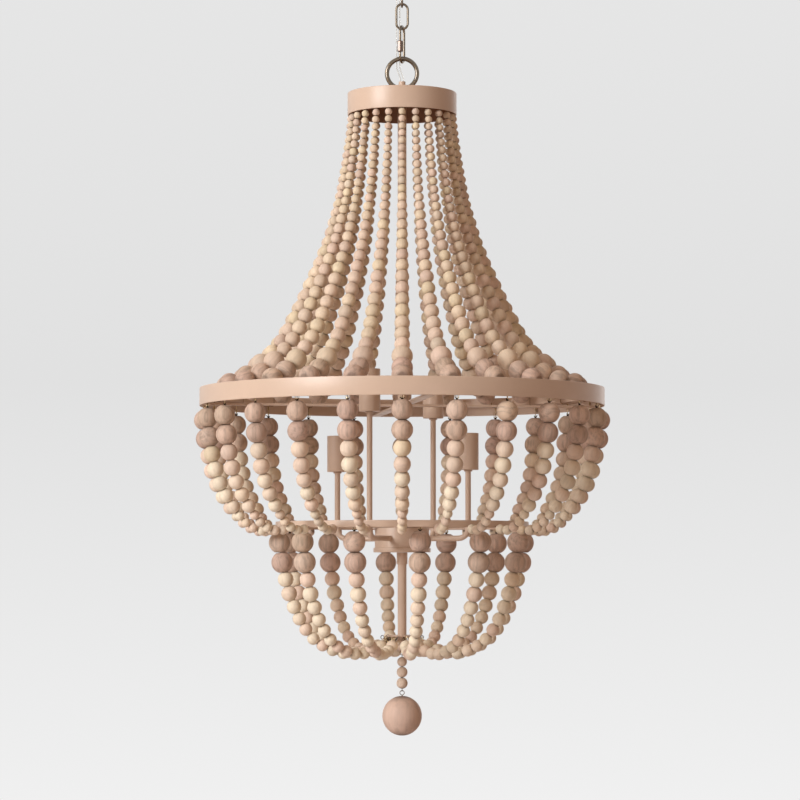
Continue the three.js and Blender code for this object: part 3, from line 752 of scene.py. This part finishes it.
# ---- Rings and cross bars ----
def flat_bar(reach, width, low, high):
    """Both arms of a cross bar along X with rounded edges, ended square."""
    section = rounded(box(-width / 2, width / 2, low, high), 0.5, 2)
    points, faces = [], []
    count = len(section)
    for x in (-reach, reach):
        points += [(x, y, z) for y, z in section]
    for k in range(count):
        beside = (k + 1) % count
        faces.append((k, beside, count + beside, count + k))
    faces.append(tuple(reversed(range(count))))
    faces.append(tuple(range(count, 2 * count)))
    return np.array(points), faces


def across(points_faces):
    points, faces = points_faces
    return points @ np.array(Matrix.Rotation(math.pi / 2, 3, "Z")).T, faces


def make_rings():
    lip = RING_RADIUS - RING_WEB
    outline = [
        (lip, RING_TOP - RING_INNER_LIP), (lip + RING_WALL, RING_TOP - RING_INNER_LIP),
        (lip + RING_WALL, RING_TOP - RING_WALL), (RING_RADIUS - RING_WALL, RING_TOP - RING_WALL),
        (RING_RADIUS - RING_WALL, RING_UNDERSIDE), (RING_RADIUS, RING_UNDERSIDE),
        (RING_RADIUS, RING_TOP), (lip, RING_TOP),
    ]
    frame_piece("main_ring_band", Shape().spun(outline, 0.8, 256), "main_ring")

    reach = RING_RADIUS - RING_WALL - 0.4
    bars = flat_bar(reach, SPIDER_WIDTH, RING_UNDERSIDE, RING_UNDERSIDE + SPIDER_THICKNESS)
    bore = STEM_RADIUS + CLEARANCE
    top = RING_UNDERSIDE + SPIDER_BOSS_HEIGHT
    spider = Shape().add(*bars).add(*across(bars))
    spider.spun(box(bore, SPIDER_BOSS_RADIUS, RING_UNDERSIDE, top), 0.8, 40)
    frame_piece("spider_bars", spider.turned(facing(SPIDER_ANGLE)), "ring_spider")

    inside = LOWER_RING_RADIUS - LOWER_RING_WALL
    top = LOWER_RING_UNDERSIDE + LOWER_RING_HEIGHT
    lower = Shape().spun(box(inside, LOWER_RING_RADIUS, LOWER_RING_UNDERSIDE, top), 0.7, 192)
    low = HUB_TOP + CLEARANCE
    bars = flat_bar(inside + 0.5, SPOKE_WIDTH, low, low + SPOKE_THICKNESS)
    lower.add(*bars).add(*across(bars))
    lower.spun(box(bore, SPOKE_BOSS_RADIUS, low, low + SPOKE_THICKNESS), 0.6, 40)
    frame_piece("lower_ring_band", lower.turned(facing(SPOKE_ANGLE)), "lower_ring")


make_rings()


# ---- Hub, arms and candle sockets ----
def make_hub():
    outline = [
        (0, FLANGE_UNDERSIDE), (FLANGE_RADIUS, FLANGE_UNDERSIDE), (FLANGE_RADIUS, FLANGE_TOP),
        (HUB_RADIUS, FLANGE_TOP), (HUB_RADIUS, HUB_TOP), (0, HUB_TOP),
    ]
    frame_piece("hub_shell", Shape().spun(outline, 1.0, 96, closed=False), "hub_canister")


def make_arm(number, angle, floor, height):
    seat = floor - CLEARANCE
    start = (HUB_RADIUS + CLEARANCE, ARM_LEVEL)
    corner = Vector((ARM_REACH, ARM_LEVEL))
    bend = [
        (corner + Vector((-ARM_BEND, 0))) * (1 - t) ** 2 + corner * 2 * t * (1 - t)
        + (corner + Vector((0, ARM_BEND))) * t**2
        for t in (i / 12 for i in range(13))
    ]
    path = [start, *bend, (ARM_REACH, seat + ARM_TIP)]
    arm = Shape().wired([(x, 0, z) for x, z in path], ARM_RADIUS, 20)
    collar = box(ARM_RADIUS - 0.4, ARM_COLLAR_RADIUS, seat - ARM_COLLAR_HEIGHT, seat)
    arm.spun(collar, 0.5, 32, (ARM_REACH, 0)).turned(facing(angle))
    frame_piece(f"arm_tube_{number}", arm, f"candle_arm_{number}")

    bore = ARM_RADIUS + CLEARANCE
    inside = COVER_RADIUS - COVER_WALL
    rim = floor + height
    outline = [
        (bore, floor), (COVER_RADIUS, floor), (COVER_RADIUS, rim), (inside, rim),
        (inside, floor + COVER_FLOOR), (bore, floor + COVER_FLOOR),
    ]
    cover = Shape().spun(outline, 0.7, 56, (ARM_REACH, 0)).turned(facing(angle))
    frame_piece(f"cover_{number}", cover, f"socket_cover_{number}")

    seat = floor + ARM_TIP
    top = rim - SOCKET_SINK
    outline = [
        (0, seat), (SOCKET_RADIUS, seat), (SOCKET_RADIUS, top), (SOCKET_BORE_RADIUS, top),
        (SOCKET_BORE_RADIUS, top - SOCKET_BORE_DEPTH), (0, top - SOCKET_BORE_DEPTH),
    ]
    socket = Shape().spun(outline, 0.8, 48, (ARM_REACH, 0), closed=False)
    finished(
        f"socket_{number}", socket.turned(facing(angle)), ceramic, "fixture",
        [f"lamp_socket_{number}"],
    )


make_hub()
for index, angle in enumerate(ARM_ANGLES):
    make_arm(index + 1, angle, COVER_FLOORS[index % 2], COVER_HEIGHTS[index % 2])


# ---- Lower stem and its collector ----
def ball_outline(radius, middle, low, high, steps=12):
    """A sphere's outline from angle low to angle high, counted up from its lowest point."""
    turns = [low + (high - low) * i / steps for i in range(steps + 1)]
    return [(radius * math.sin(t), middle - radius * math.cos(t)) for t in turns]


def make_lower_stem():
    coupler = [
        (0, COUPLER_UNDERSIDE - 1), (STEM_RADIUS - 0.5, COUPLER_UNDERSIDE - 1),
        (STEM_RADIUS - 0.5, COUPLER_UNDERSIDE), (COUPLER_RADIUS, COUPLER_UNDERSIDE),
        (COUPLER_RADIUS, COUPLER_TOP), (0, COUPLER_TOP),
    ]
    stem = Shape().spun(coupler, 0.7, 40, closed=False)
    lift = math.acos(STEM_RADIUS / CUP_RADIUS)
    cup = ball_outline(CUP_RADIUS, CUP_MIDDLE, 0.0, math.pi / 2 + lift)
    cup += [(STEM_RADIUS, COUPLER_UNDERSIDE + 0.5), (0, COUPLER_UNDERSIDE + 0.5)]
    stem.add(*lathe(cup, 40))
    disc = box(STEM_RADIUS - 0.5, COLLECTOR_RADIUS, COLLECTOR_UNDERSIDE, COLLECTOR_TOP)
    frame_piece("lower_tube", stem.spun(disc, 0.7, 64), "lower_stem")
    eye = Shape().wired(circle(EYE_RADIUS, CUP_EYE_MIDDLE, 32), EYE_WIRE / 2, 10, True)
    finished("cup_eye", eye, wire_metal, "fixture")


make_lower_stem()


# ---- Beads ----
def bead_template(sides, rows, bore, flat):
    """A bead of unit radius about Z, cut flat at a height near each end, with a bore along it,
    and its faces' places in a unit cell."""
    rim = math.acos(flat)
    profile = [(bore, flat)]
    if math.sin(rim) > bore * 1.6:
        profile.append((math.sin(rim) * 0.9, flat))
    angles = (rim + (math.pi - 2 * rim) * i / rows for i in range(rows + 1))
    profile += [(math.sin(f), math.cos(f)) for f in angles]
    profile += [(r, -z) for r, z in profile[: -rows - 1][::-1]]
    turns = np.arange(sides) * 2 * math.pi / sides
    points = [(r * math.cos(t), r * math.sin(t), z) for r, z in profile for t in turns]
    faces, cells = [], []
    count = len(profile)
    for i in range(count):
        below = (i + 1) % count
        low, high = (i / count, (i + 1) / count)
        for k in range(sides):
            beside = (k + 1) % sides
            here, under = i * sides, below * sides
            faces.append((here + k, under + k, under + beside, here + beside))
            left, right = k / sides, (k + 1) / sides
            cells += [(left, low), (left, high), (right, high), (right, low)]
    return np.array(points), faces, np.array(cells)


SMALL_BEAD = (22, 12)
LARGE_BEAD = (40, 22)
BALL_BEAD = (72, 40)
BORE_RADIUS = 0.75
FLAT_SHARE = 0.497
CELL_GAP = 0.012


class BeadRun:
    """Beads of one piece, each with its own turn, tint and cell of the surface map."""

    def __init__(self, seed, sides, rows):
        self.chance = random.Random(seed)
        self.sides, self.rows = sides, rows
        self.places = []

    def bead(self, middle, way, radius, half_length, light, warm):
        self.places.append((middle, way, radius, half_length, light, warm))

    def shape(self):
        columns = math.ceil(math.sqrt(len(self.places)))
        made = Shape()
        for i, (middle, way, radius, half_length, light, warm) in enumerate(self.places):
            flat = min(half_length / radius, 0.99)
            bore = min(BORE_RADIUS / radius, math.sqrt(1 - flat**2) * 0.8)
            points, faces, cells = bead_template(self.sides, self.rows, bore, flat)
            turn = Matrix.Rotation(self.chance.uniform(0, 2 * math.pi), 3, "Z")
            tilt = Vector(way).to_track_quat("Z", "Y").to_matrix()
            whole = np.array(tilt @ turn)
            corner = np.array([i % columns, i // columns])
            own = (corner + CELL_GAP + cells * (1 - 2 * CELL_GAP)) / columns
            tint = (light, warm, self.chance.random(), 1.0)
            made.add(points * radius @ whole.T + np.array(middle), faces, points, tint, own)
        return made


def strung(run, spots, light, warm, spread):
    """Adds beads at spots of (middle, way, size). A size is the bead's length along the wire."""
    for middle, way, size in spots:
        stoutness = float(np.interp(size, [10, 11.5, 14, 20], [0.99, 1.03, 1.065, 1.085]))
        run.bead(
            middle, way, size / 2 * stoutness, size * FLAT_SHARE,
            min(1, max(0, run.chance.gauss(light, spread))),
            min(1, max(0, run.chance.gauss(warm, spread))),
        )


# ---- Strand profiles ----
UPPER_SHARES = [
    (0, 0), (0.03, 0.13), (0.071, 0.258), (0.121, 0.372), (0.186, 0.481), (0.272, 0.589),
    (0.377, 0.705), (0.498, 0.819), (0.628, 0.896), (0.753, 0.956), (0.886, 0.991), (1, 1),
]
MIDDLE_SHARES = [
    (0, 0), (0.028, 0.176), (0.067, 0.326), (0.112, 0.463), (0.176, 0.59), (0.265, 0.707),
    (0.374, 0.816), (0.472, 0.904), (0.575, 0.971), (0.688, 1.017), (0.789, 1.034),
    (0.887, 1.03), (1, 1),
]
LOWER_SHARES = [
    (0, 0), (0.025, 0.182), (0.057, 0.333), (0.088, 0.457), (0.132, 0.574), (0.182, 0.685),
    (0.239, 0.778), (0.308, 0.864), (0.39, 0.926), (0.478, 0.969), (0.591, 1), (0.736, 0.99),
    (0.86, 0.95), (0.943, 0.9), (1, 0.84),
]
HOOK_RADIUS = 74.5
UPPER_START = (73.9, CAP_UNDERSIDE - 5.5)
UPPER_END = (271.5, RING_TOP + 1)
MIDDLE_START = (283.8, RING_UNDERSIDE - 19.5)
MIDDLE_END = (182.6, LOWER_RING_UNDERSIDE + 1.2)
LOWER_START = (175.95, LOWER_RING_UNDERSIDE - 20.175)
LOWER_END = (20.8, COLLECTOR_UNDERSIDE - 1.62)
LOWER_HOLE = 179.75
LOWER_END_GAP = 15
LOWER_SAG = 157
MIDDLE_END_GAP = 4
MIDDLE_PITCH = 14.2
LOWER_PITCH = 15.4
HANG_GAP = 6
LARGE_SIZE = 27
UPPER_SIZES = (
    [10.2, 10.2, 10.2, 10.3, 10.9, 11.4, 11.4, 11.8, 12, 12, 12, 12.3, 13.3, 14.4, 14.7, 14.9]
    + [16, 16.2, 17, 18, 18, 18.3, 19.2, 19.5, 19.6, 19.6]
)
MIDDLE_SIZES = [27, 27, 22.4, 21.6, 20, 19.2, 18.1]
LOWER_SIZES = [28.4, 28.4, 20.8, 20.8, 19.2, 18.1, 17.4, 16.6]


class Profile:
    """A smooth curve in the plane of a strand, measured along its length."""

    def __init__(self, shares, start, end, fall, steps=40):
        knots = [
            (start[0] + out * (end[0] - start[0]), start[1] - down * fall) for out, down in shares
        ]
        knots = np.array([knots[0], *knots, knots[-1]])
        t = np.linspace(0, 1, steps, endpoint=False)[:, None]
        places = []
        for a, b, c, d in zip(knots, knots[1:], knots[2:], knots[3:]):
            leave, arrive = (c - a) / 2, (d - b) / 2
            places.append(
                (2 * b - 2 * c + leave + arrive) * t**3
                + (-3 * b + 3 * c - 2 * leave - arrive) * t**2 + leave * t + b
            )
        self.places = np.vstack([*places, knots[-1:]])
        steps_long = np.linalg.norm(np.diff(self.places, axis=0), axis=1)
        self.marks = np.concatenate([[0], np.cumsum(steps_long)])
        self.length = self.marks[-1]

    def at(self, distance):
        return (
            float(np.interp(distance, self.marks, self.places[:, 0])),
            float(np.interp(distance, self.marks, self.places[:, 1])),
        )

    def spots(self, start, sizes):
        """The beads that start at a distance along the curve: each (middle, way, size)."""
        made = []
        for size in sizes:
            low, high = self.at(start), self.at(start + size)
            middle = self.at(start + size / 2)
            way = (high[0] - low[0], 0, high[1] - low[1])
            made.append(((middle[0], 0, middle[1]), way, size))
            start += size
        return made


def fitted(sizes, length):
    share = length / sum(sizes)
    return [size * share for size in sizes]


def main_spots():
    upper = Profile(UPPER_SHARES, UPPER_START, UPPER_END, UPPER_START[1] - UPPER_END[1])
    large_start = upper.length - 3 * LARGE_SIZE - HANG_GAP
    half = UPPER_SIZES[0] / 2
    small = upper.spots(-half, fitted(UPPER_SIZES, large_start + half))
    small[0] = ((UPPER_START[0], 0, UPPER_START[1]), (0.05, 0, -1), small[0][2])
    pale = upper.spots(large_start, [LARGE_SIZE] * 3)
    middle = Profile(MIDDLE_SHARES, MIDDLE_START, MIDDLE_END, MIDDLE_START[1] - MIDDLE_END[1])
    first = MIDDLE_SIZES[0] / 2
    sized = sum(MIDDLE_SIZES) - first
    rest = middle.length - sized - MIDDLE_END_GAP
    count = round(rest / MIDDLE_PITCH)
    run = middle.spots(first, MIDDLE_SIZES[1:] + [rest / count] * count)
    dark = [((MIDDLE_START[0], 0, MIDDLE_START[1]), (0.03, 0, -1), MIDDLE_SIZES[0]), run[0]]
    wire = [(HOOK_RADIUS, 0, CAP_UNDERSIDE + 5.5), (HOOK_RADIUS, 0, CAP_UNDERSIDE)]
    wire += [spot[0] for spot in small + pale]
    wire += [
        (UPPER_END[0], 0, RING_TOP - 2), (UPPER_END[0], 0, RING_TOP - RING_INNER_LIP),
        (UPPER_END[0] + 3.5, 0, RING_TOP - RING_INNER_LIP - 2.4),
        (MIDDLE_START[0] - 2, 0, RING_TOP - RING_INNER_LIP - 1.6),
        (MIDDLE_START[0], 0, RING_UNDERSIDE + 10),
        (MIDDLE_START[0], 0, MIDDLE_START[1] + first),
    ]
    wire += [spot[0] for spot in dark + run[1:]] + [(MIDDLE_END[0], 0, MIDDLE_END[1])]
    return small, pale, dark, run[1:], wire


def lower_spots():
    curve = Profile(LOWER_SHARES, LOWER_START, LOWER_END, LOWER_SAG)
    first = LOWER_SIZES[0] / 2
    rest = curve.length - (sum(LOWER_SIZES) - first) - LOWER_END_GAP
    count = round(rest / LOWER_PITCH)
    run = curve.spots(first, LOWER_SIZES[1:] + [rest / count] * count)
    dark = [((LOWER_START[0], 0, LOWER_START[1]), (0.03, 0, -1), LOWER_SIZES[0]), run[0]]
    top = LOWER_RING_UNDERSIDE - CLEARANCE
    wire = [
        (LOWER_HOLE, 0, top - 0.4), (LOWER_START[0] + 0.6, 0, top - 3),
        (LOWER_START[0], 0, top - 5.6),
    ]
    wire += [spot[0] for spot in dark + run[1:]] + [(LOWER_END[0], 0, LOWER_END[1])]
    return dark, run[1:], wire


# ---- Wires and hooks ----
STRAND_WIRE = 0.5
KNOT_WIRE = 0.7


def knot(middle_x, low, high, radius, turns, phase):
    """A few tight turns of wire round the strand's own wire."""
    steps = turns * 10
    return [
        (
            middle_x + radius * math.cos(phase + 2 * math.pi * turns * i / steps),
            radius * math.sin(phase + 2 * math.pi * turns * i / steps),
            low + (high - low) * i / steps,
        )
        for i in range(steps + 1)
    ]


def small_loop(middle, radius, lean, steps=18):
    """A tiny open loop of wire that leans out of the strand's plane."""
    side = Vector((math.sin(lean), math.cos(lean), 0))
    up = Vector((0, 0, 1))
    return [
        tuple(Vector(middle) + side * radius * math.cos(t) + up * radius * math.sin(t))
        for t in all_round(steps)
    ]


def hooked(wires, x, bead_top, reach, chance):
    """The dark knot over a hung bead, its two ends, and the pale loops that it hangs from."""
    phase = chance.uniform(0, 2 * math.pi)
    turns = knot(x, bead_top - 0.6, bead_top + 2.0, 1.1, 3, phase)
    # The knot's dark tint and the loops' pale tint are painted reflection and highlight on the
    # wire.
    wires.wired(turns, KNOT_WIRE, 6, tint=DARK)
    for side in (-1, 1):
        lean = chance.uniform(-0.6, 0.6)
        out = Vector((math.sin(lean), side * math.cos(lean), 0))
        start = Vector((x, 0, bead_top + 1))
        rise = Vector((0, 0, chance.uniform(1.8, 3.0)))
        tip = start + out * chance.uniform(2.4, 3.4) + rise
        wires.wired([start, start + out * 1.1 + rise * 0.3, tip], KNOT_WIRE, 6, tint=DARK)
    low = bead_top + 1.2
    for height, half_width in reach:
        plane = chance.uniform(-0.9, 0.9)
        path = hanging_loop((x, 0, low), height, half_width, plane)
        wires.wired(path, STRAND_WIRE, 6, True, PALE)
        low += height - 1.0


def hanging_loop(foot, height, half_width, lean, steps=22):
    """A pear-shaped loop of wire that stands on a foot, narrow at the bottom."""
    side = Vector((math.sin(lean), math.cos(lean), 0))
    made = []
    for turn in all_round(steps):
        up = (1 - math.cos(turn)) / 2
        wide = half_width * math.sin(turn) * (0.55 + 0.6 * up)
        made.append(tuple(Vector(foot) + side * wide + Vector((0, 0, height * up))))
    return made


# ---- Strands ----
STRANDS = 24
LOWER_PAIRS = 6
PAIR_HALF_ANGLE = math.pi / 12
FIRST_PAIR_DEGREES = 23
# Each group's light, warmth and spread. The lightness rises from the upper tier to the lower ones:
# painted light that makes up for the lamps reaching the lower tiers less.
UPPER_TINTS = (0.56, 0.32, 0.2)
MIDDLE_TINTS = (0.84, 0.64, 0.25)
LOWER_TINTS = (0.96, 0.8, 0.26)
PALE_TINTS = (0.45, 0.4, 0.15)
LARGE_TINTS = (0.58, 0.45, 0.22)
LOWER_LARGE_TINTS = (0.62, 0.48, 0.22)


def beads_of(seed, kind, *groups):
    """The beads of one piece, from groups of spots with their light, warmth and spread."""
    run = BeadRun(f"{SEED}{seed}", *kind)
    for spots, tints in groups:
        strung(run, spots, *tints)
    return run.shape()


def make_strand(number):
    angle = facing(2 * math.pi * (number - 1) / STRANDS)
    small, pale, dark, middle_run, wire = main_spots()
    name = f"bead_strand_{number:02d}"
    beads = beads_of(f"s{number}", SMALL_BEAD, (small, UPPER_TINTS), (middle_run, MIDDLE_TINTS))
    finished(name + "_small", beads.turned(angle), small_wood, "fixture", [name])
    beads = beads_of(f"p{number}", LARGE_BEAD, (pale[:1], PALE_TINTS))
    finished(name + "_pale", beads.turned(angle), small_wood, "fixture")
    beads = beads_of(f"d{number}", LARGE_BEAD, (pale[1:] + dark, LARGE_TINTS))
    finished(name + "_large", beads.turned(angle), large_wood, "fixture")
    chance = random.Random(f"{SEED}w{number}")
    wires = Shape().wired(wire, STRAND_WIRE, 6)
    hooked(wires, MIDDLE_START[0], MIDDLE_START[1] + 13.3, [(9.5, 3.0), (8.5, 2.6)], chance)
    finished(name + "_wire", wires.turned(angle), wire_metal, "fixture")


def make_lower_pair(number):
    centre = facing(math.radians(FIRST_PAIR_DEGREES + 60 * (number - 1)))
    name = f"lower_strand_pair_{number}"
    dark, small, wire = lower_spots()
    beads, large, wires = Shape(), Shape(), Shape()
    turns = [centre - PAIR_HALF_ANGLE, centre + PAIR_HALF_ANGLE]
    for half, (side, turn) in enumerate(zip((-1, 1), turns)):
        key = f"{number}{side}"
        merged(beads, beads_of(f"ls{key}", SMALL_BEAD, (small, LOWER_TINTS)).turned(turn), half)
        made = beads_of(f"ld{key}", LARGE_BEAD, (dark, LOWER_LARGE_TINTS))
        merged(large, made.turned(turn), half)
        chance = random.Random(f"{SEED}lw{key}")
        one = Shape().wired(wire, STRAND_WIRE, 6)
        hooked(one, LOWER_START[0], LOWER_START[1] + 14, [(8.5, 2.4)], chance)
        merged(wires, one.turned(turn))
    ends = [(LOWER_END[0] * math.cos(t), LOWER_END[0] * math.sin(t), LOWER_END[1]) for t in turns]
    # The pale and dark tints on these wires are painted highlight and reflection.
    wires.wired(ends, 0.55, 8, tint=PALE)
    chance = random.Random(f"{SEED}c{number}")
    for t in turns:
        for drop in (-0.5, 1.5, 3.5, 5.5, 7.5):
            reach = LOWER_END[0] + chance.uniform(-1.0, 9.0)
            turn = t + chance.uniform(-0.16, 0.16)
            middle = (reach * math.cos(turn), reach * math.sin(turn), LOWER_END[1] - drop)
            loop = small_loop(middle, chance.uniform(2.0, 3.0), chance.uniform(0, math.pi))
            wires.wired(loop, STRAND_WIRE, 6, True, chance.choice([PALE, PALE, DARK]))
    finished(name + "_small", beads, small_wood, "fixture", [name])
    finished(name + "_large", large, large_wood, "fixture")
    finished(name + "_wire", wires, wire_metal, "fixture")


def merged(whole, piece, half=None):
    """Adds a shape to another. half packs its surface map into the left or right half."""
    cells = np.concatenate(piece.cells) if piece.cells else None
    if cells is not None and half is not None:
        cells = cells * np.array([0.5, 1.0]) + np.array([0.5 * half, 0.0])
    whole.add(
        np.concatenate(piece.points), piece.faces, np.concatenate(piece.local),
        np.concatenate(piece.tint), cells,
    )


for number in range(1, STRANDS + 1):
    make_strand(number)
for number in range(1, LOWER_PAIRS + 1):
    make_lower_pair(number)


# ---- Drop under the cup ----
def make_drop():
    run = BeadRun(f"{SEED}drop", *LARGE_BEAD)
    top = DROP_BEADS_TOP
    for size in DROP_BEAD_SIZES:
        run.bead((0, 0, top - size / 2), (0, 0, -1), size / 2, size * FLAT_SHARE, 0.45, 0.6)
        top -= size - 0.1
    finished("drop_small", run.shape(), small_wood, "drop_beads", ["drop_beads"])
    rings = Shape()
    for middle in DROP_LOOP_MIDDLES:
        loop = circle(DROP_LOOP_RADIUS, middle, 32, "YZ")
        rings.wired(loop, EYE_WIRE / 2, 10, True, DULL)
    rings.wired([
        (0, 0, DROP_LOOP_MIDDLES[0] - DROP_LOOP_RADIUS + 0.3),
        (0, 0, DROP_LOOP_MIDDLES[1] + DROP_LOOP_RADIUS - 0.3),
    ], 0.45, 8)
    finished("drop_loops", rings, wire_metal, "drop_beads")

    run = BeadRun(f"{SEED}ball", *BALL_BEAD)
    run.bead((0, 0, BALL_MIDDLE), (0, 0, -1), BALL_RADIUS, BALL_RADIUS, 0.55, 0.4)
    finished("ball_bead", run.shape(), ball_wood, "drop_ball", ["drop_ball"])
    loop = circle(EYE_RADIUS, BALL_EYE_MIDDLE, 32)
    eye = Shape().wired(loop, EYE_WIRE / 2, 10, True, DULL)
    top = BALL_MIDDLE + BALL_RADIUS
    eye.wired([(0, 0, BALL_EYE_MIDDLE - EYE_RADIUS + 0.2), (0, 0, top - 4)], 0.8, 10)
    finished("ball_eye", eye, wire_metal, "drop_ball")


make_drop()


# ---- Supply cord ----
CORD_ROUTE = [
    (0, 0, -3.3), (0, 0, -39), (-1, 0.6, -43), (-2.8, 2.6, -47.5), (-4.9, 4.8, -53),
    (-5.6, 5.2, -58), (-5.6, 5.2, -90), (-5.6, 5.2, -124), (-5.6, 5.2, -176), (-5.2, 4.9, -183),
    (-3.4, 3, -189), (-1, 0.7, -196), (0, 0, -201), (0, 0, -215.06),
]
CORD_JOINTS = [
    ("ceiling_fitting", "upper_link", -61.26), ("upper_link", "lower_link", -93.71),
    ("lower_link", "quick_link", -126.41), ("quick_link", "fixture", -174.81),
]
CORE_SPACING = 4.4
CORE_RADIUS = 1.1
STRAND_SHARE = 0.22
ROUTE_STEPS = 12


def cord_path(low, high, shift):
    """The cord's smooth route between two heights, moved along X by shift."""
    made = []
    knots = [CORD_ROUTE[0], *CORD_ROUTE, CORD_ROUTE[-1]]
    for a, b, c, d in zip(knots, knots[1:], knots[2:], knots[3:]):
        a, b, c, d = map(Vector, (a, b, c, d))
        for t in (i / ROUTE_STEPS for i in range(ROUTE_STEPS)):
            lead = (b + (c - a) * t / 6).lerp(c - (d - b) * (1 - t) / 6, t)
            made.append(lead.lerp(b.lerp(c, t), 0.35))
    made.append(Vector(CORD_ROUTE[-1]))
    kept = [p for p in made if low <= p.z <= high]
    return [(p.x + shift, p.y, p.z) for p in kept]


def make_cord():
    between = [(a[2] + b[2]) / 2 for a, b in zip(CORD_JOINTS, CORD_JOINTS[1:])]
    limits = [CORD_ROUTE[0][2], *between, CORD_ROUTE[-1][2]]
    for number, (above, below, hinge) in enumerate(CORD_JOINTS, 1):
        skin, cores = Shape(), Shape()
        for side in (-1, 1):
            path = cord_path(limits[number], limits[number - 1], side * CORE_SPACING / 2)
            skin.wired(path, CORE_RADIUS, 14)
            cores.wired(path, CORE_RADIUS * STRAND_SHARE, 8)
        for name, shape, material in (("cord_skin", skin, clear), ("cord_core", cores, tinned)):
            made = bare_piece(f"{name}_{number}", shape, material)
            made.visible_shadow = name != "cord_skin"
            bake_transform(made)
            if number == 1 and name == "cord_skin":
                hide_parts("supply_cord")


make_cord()
strap_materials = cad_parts["mounting_strap"].data.materials
strap_materials.clear()
strap_materials.append(steel)


# ---- Floor, air and light ----
FLOOR_HEIGHT = -2.55
FLOOR_RADIUS = 11
FLOOR_THICKNESS = 0.02
FLOOR_GLOW = 0.62
SEEN_HEIGHTS = (-0.081, 0.2068)
FELT_STRENGTH = 0.85
AIM_HEIGHT = -0.78
COOL, WARM = (0.985, 0.99, 1.0), (1.0, 0.95, 0.93)
CAMERA_LENS = 130.58
CAMERA_SENSOR = 36
CAMERA_PLACE = (-0.003, -4.156, -0.9014)
CAMERA_TILT = math.radians(93.28)
# Name, azimuth, elevation, distance, width, height, power and shade.
LIGHTS = [
    ("key_panel", -48, 20, 4.6, 2.2, 2.2, 172, COOL),
    ("low_panel", -52, -30, 2.8, 1.4, 1.0, 9, COOL),
    ("front_fill", 12, -6, 4.6, 2.4, 2.4, 12, (1.0, 0.95, 0.9)),
    ("rim_panel", 152, 8, 4.6, 1.0, 2.6, 10, WARM),
    ("top_panel", -140, 62, 3.4, 1.6, 1.6, 10, (1.0, 0.99, 0.98)),
]


def make_floor():
    outline = [
        (0, -FLOOR_THICKNESS), (FLOOR_RADIUS, -FLOOR_THICKNESS), (FLOOR_RADIUS, 0.0), (0, 0.0),
    ]
    points, faces = lathe(outline, 96)
    mesh = bpy.data.meshes.new("floor")
    mesh.from_pydata(points + np.array([0, 0, FLOOR_HEIGHT]), [], faces)
    made = Finish("floor_finish")
    cloud = made.noise(made.place(), 0.7, 2.0)
    shade = made.mixed(cloud, colour(196, 188, 186), colour(202, 194, 192))
    made.set(Base_Color=shade, Roughness=0.9, Specular_IOR_Level=0.1, Emission_Color=shade)
    made.set(Emission_Strength=made.maths("MULTIPLY", made.straight_rays(), FLOOR_GLOW))
    mesh.materials.append(made.material)
    placed("floor", mesh)


def make_world():
    """A plain pale studio, a little greyer halfway up, that lights the object softly."""
    world = bpy.data.worlds.new("air")
    bpy.context.scene.world = world
    world.use_nodes = True
    made = Nodes(world.node_tree)
    way = made.add("TexCoord").outputs["Generated"]
    height = made.add("SeparateXYZ", Vector=way).outputs[2]
    backdrop = made.ramp(made.ranged(height, *SEEN_HEIGHTS), [
        (0.0, colour(240, 240, 240)), (0.5, colour(225, 225, 225)), (1.0, colour(230, 230, 230)),
    ])
    seen = made.add("Background", Color=backdrop)
    shade = made.ramp(made.ranged(height, -1.0, 1.0), [
        (0.0, colour(138, 108, 86)), (0.5, colour(150, 112, 84)), (1.0, colour(164, 132, 102)),
    ])
    felt = made.add("Background", Color=shade, Strength=FELT_STRENGTH)
    mix = made.add("MixShader")
    parts = (made.straight_rays(), felt.outputs[0], seen.outputs[0])
    for socket, value in zip(mix.inputs, parts):
        made.put(socket, value)
    made.add("OutputWorld", Surface=mix.outputs[0])


def area_light(name, azimuth, elevation, distance, width, height, power, shade):
    """A soft panel that faces the object. Azimuth counts from the front towards +X."""
    light = bpy.data.lights.new(name, "AREA")
    light.shape = "RECTANGLE"
    light.size, light.size_y = width, height
    light.energy = power
    light.color = shade
    lamp = placed(name, light)
    a, e = math.radians(azimuth), math.radians(elevation)
    out = Vector((math.sin(a) * math.cos(e), -math.cos(a) * math.cos(e), math.sin(e)))
    lamp.location = Vector((0, 0, AIM_HEIGHT)) + out * distance
    lamp.rotation_euler = out.to_track_quat("Z", "Y").to_euler()


make_floor()
make_world()
for row in LIGHTS:
    area_light(*row)

camera = placed("camera", bpy.data.cameras.new("camera"))
camera.data.lens = CAMERA_LENS
camera.data.sensor_width = CAMERA_SENSOR
camera.location = CAMERA_PLACE
camera.rotation_euler = (CAMERA_TILT, 0, 0)
bpy.context.scene.camera = camera
bpy.context.scene.view_settings.view_transform = "Standard"
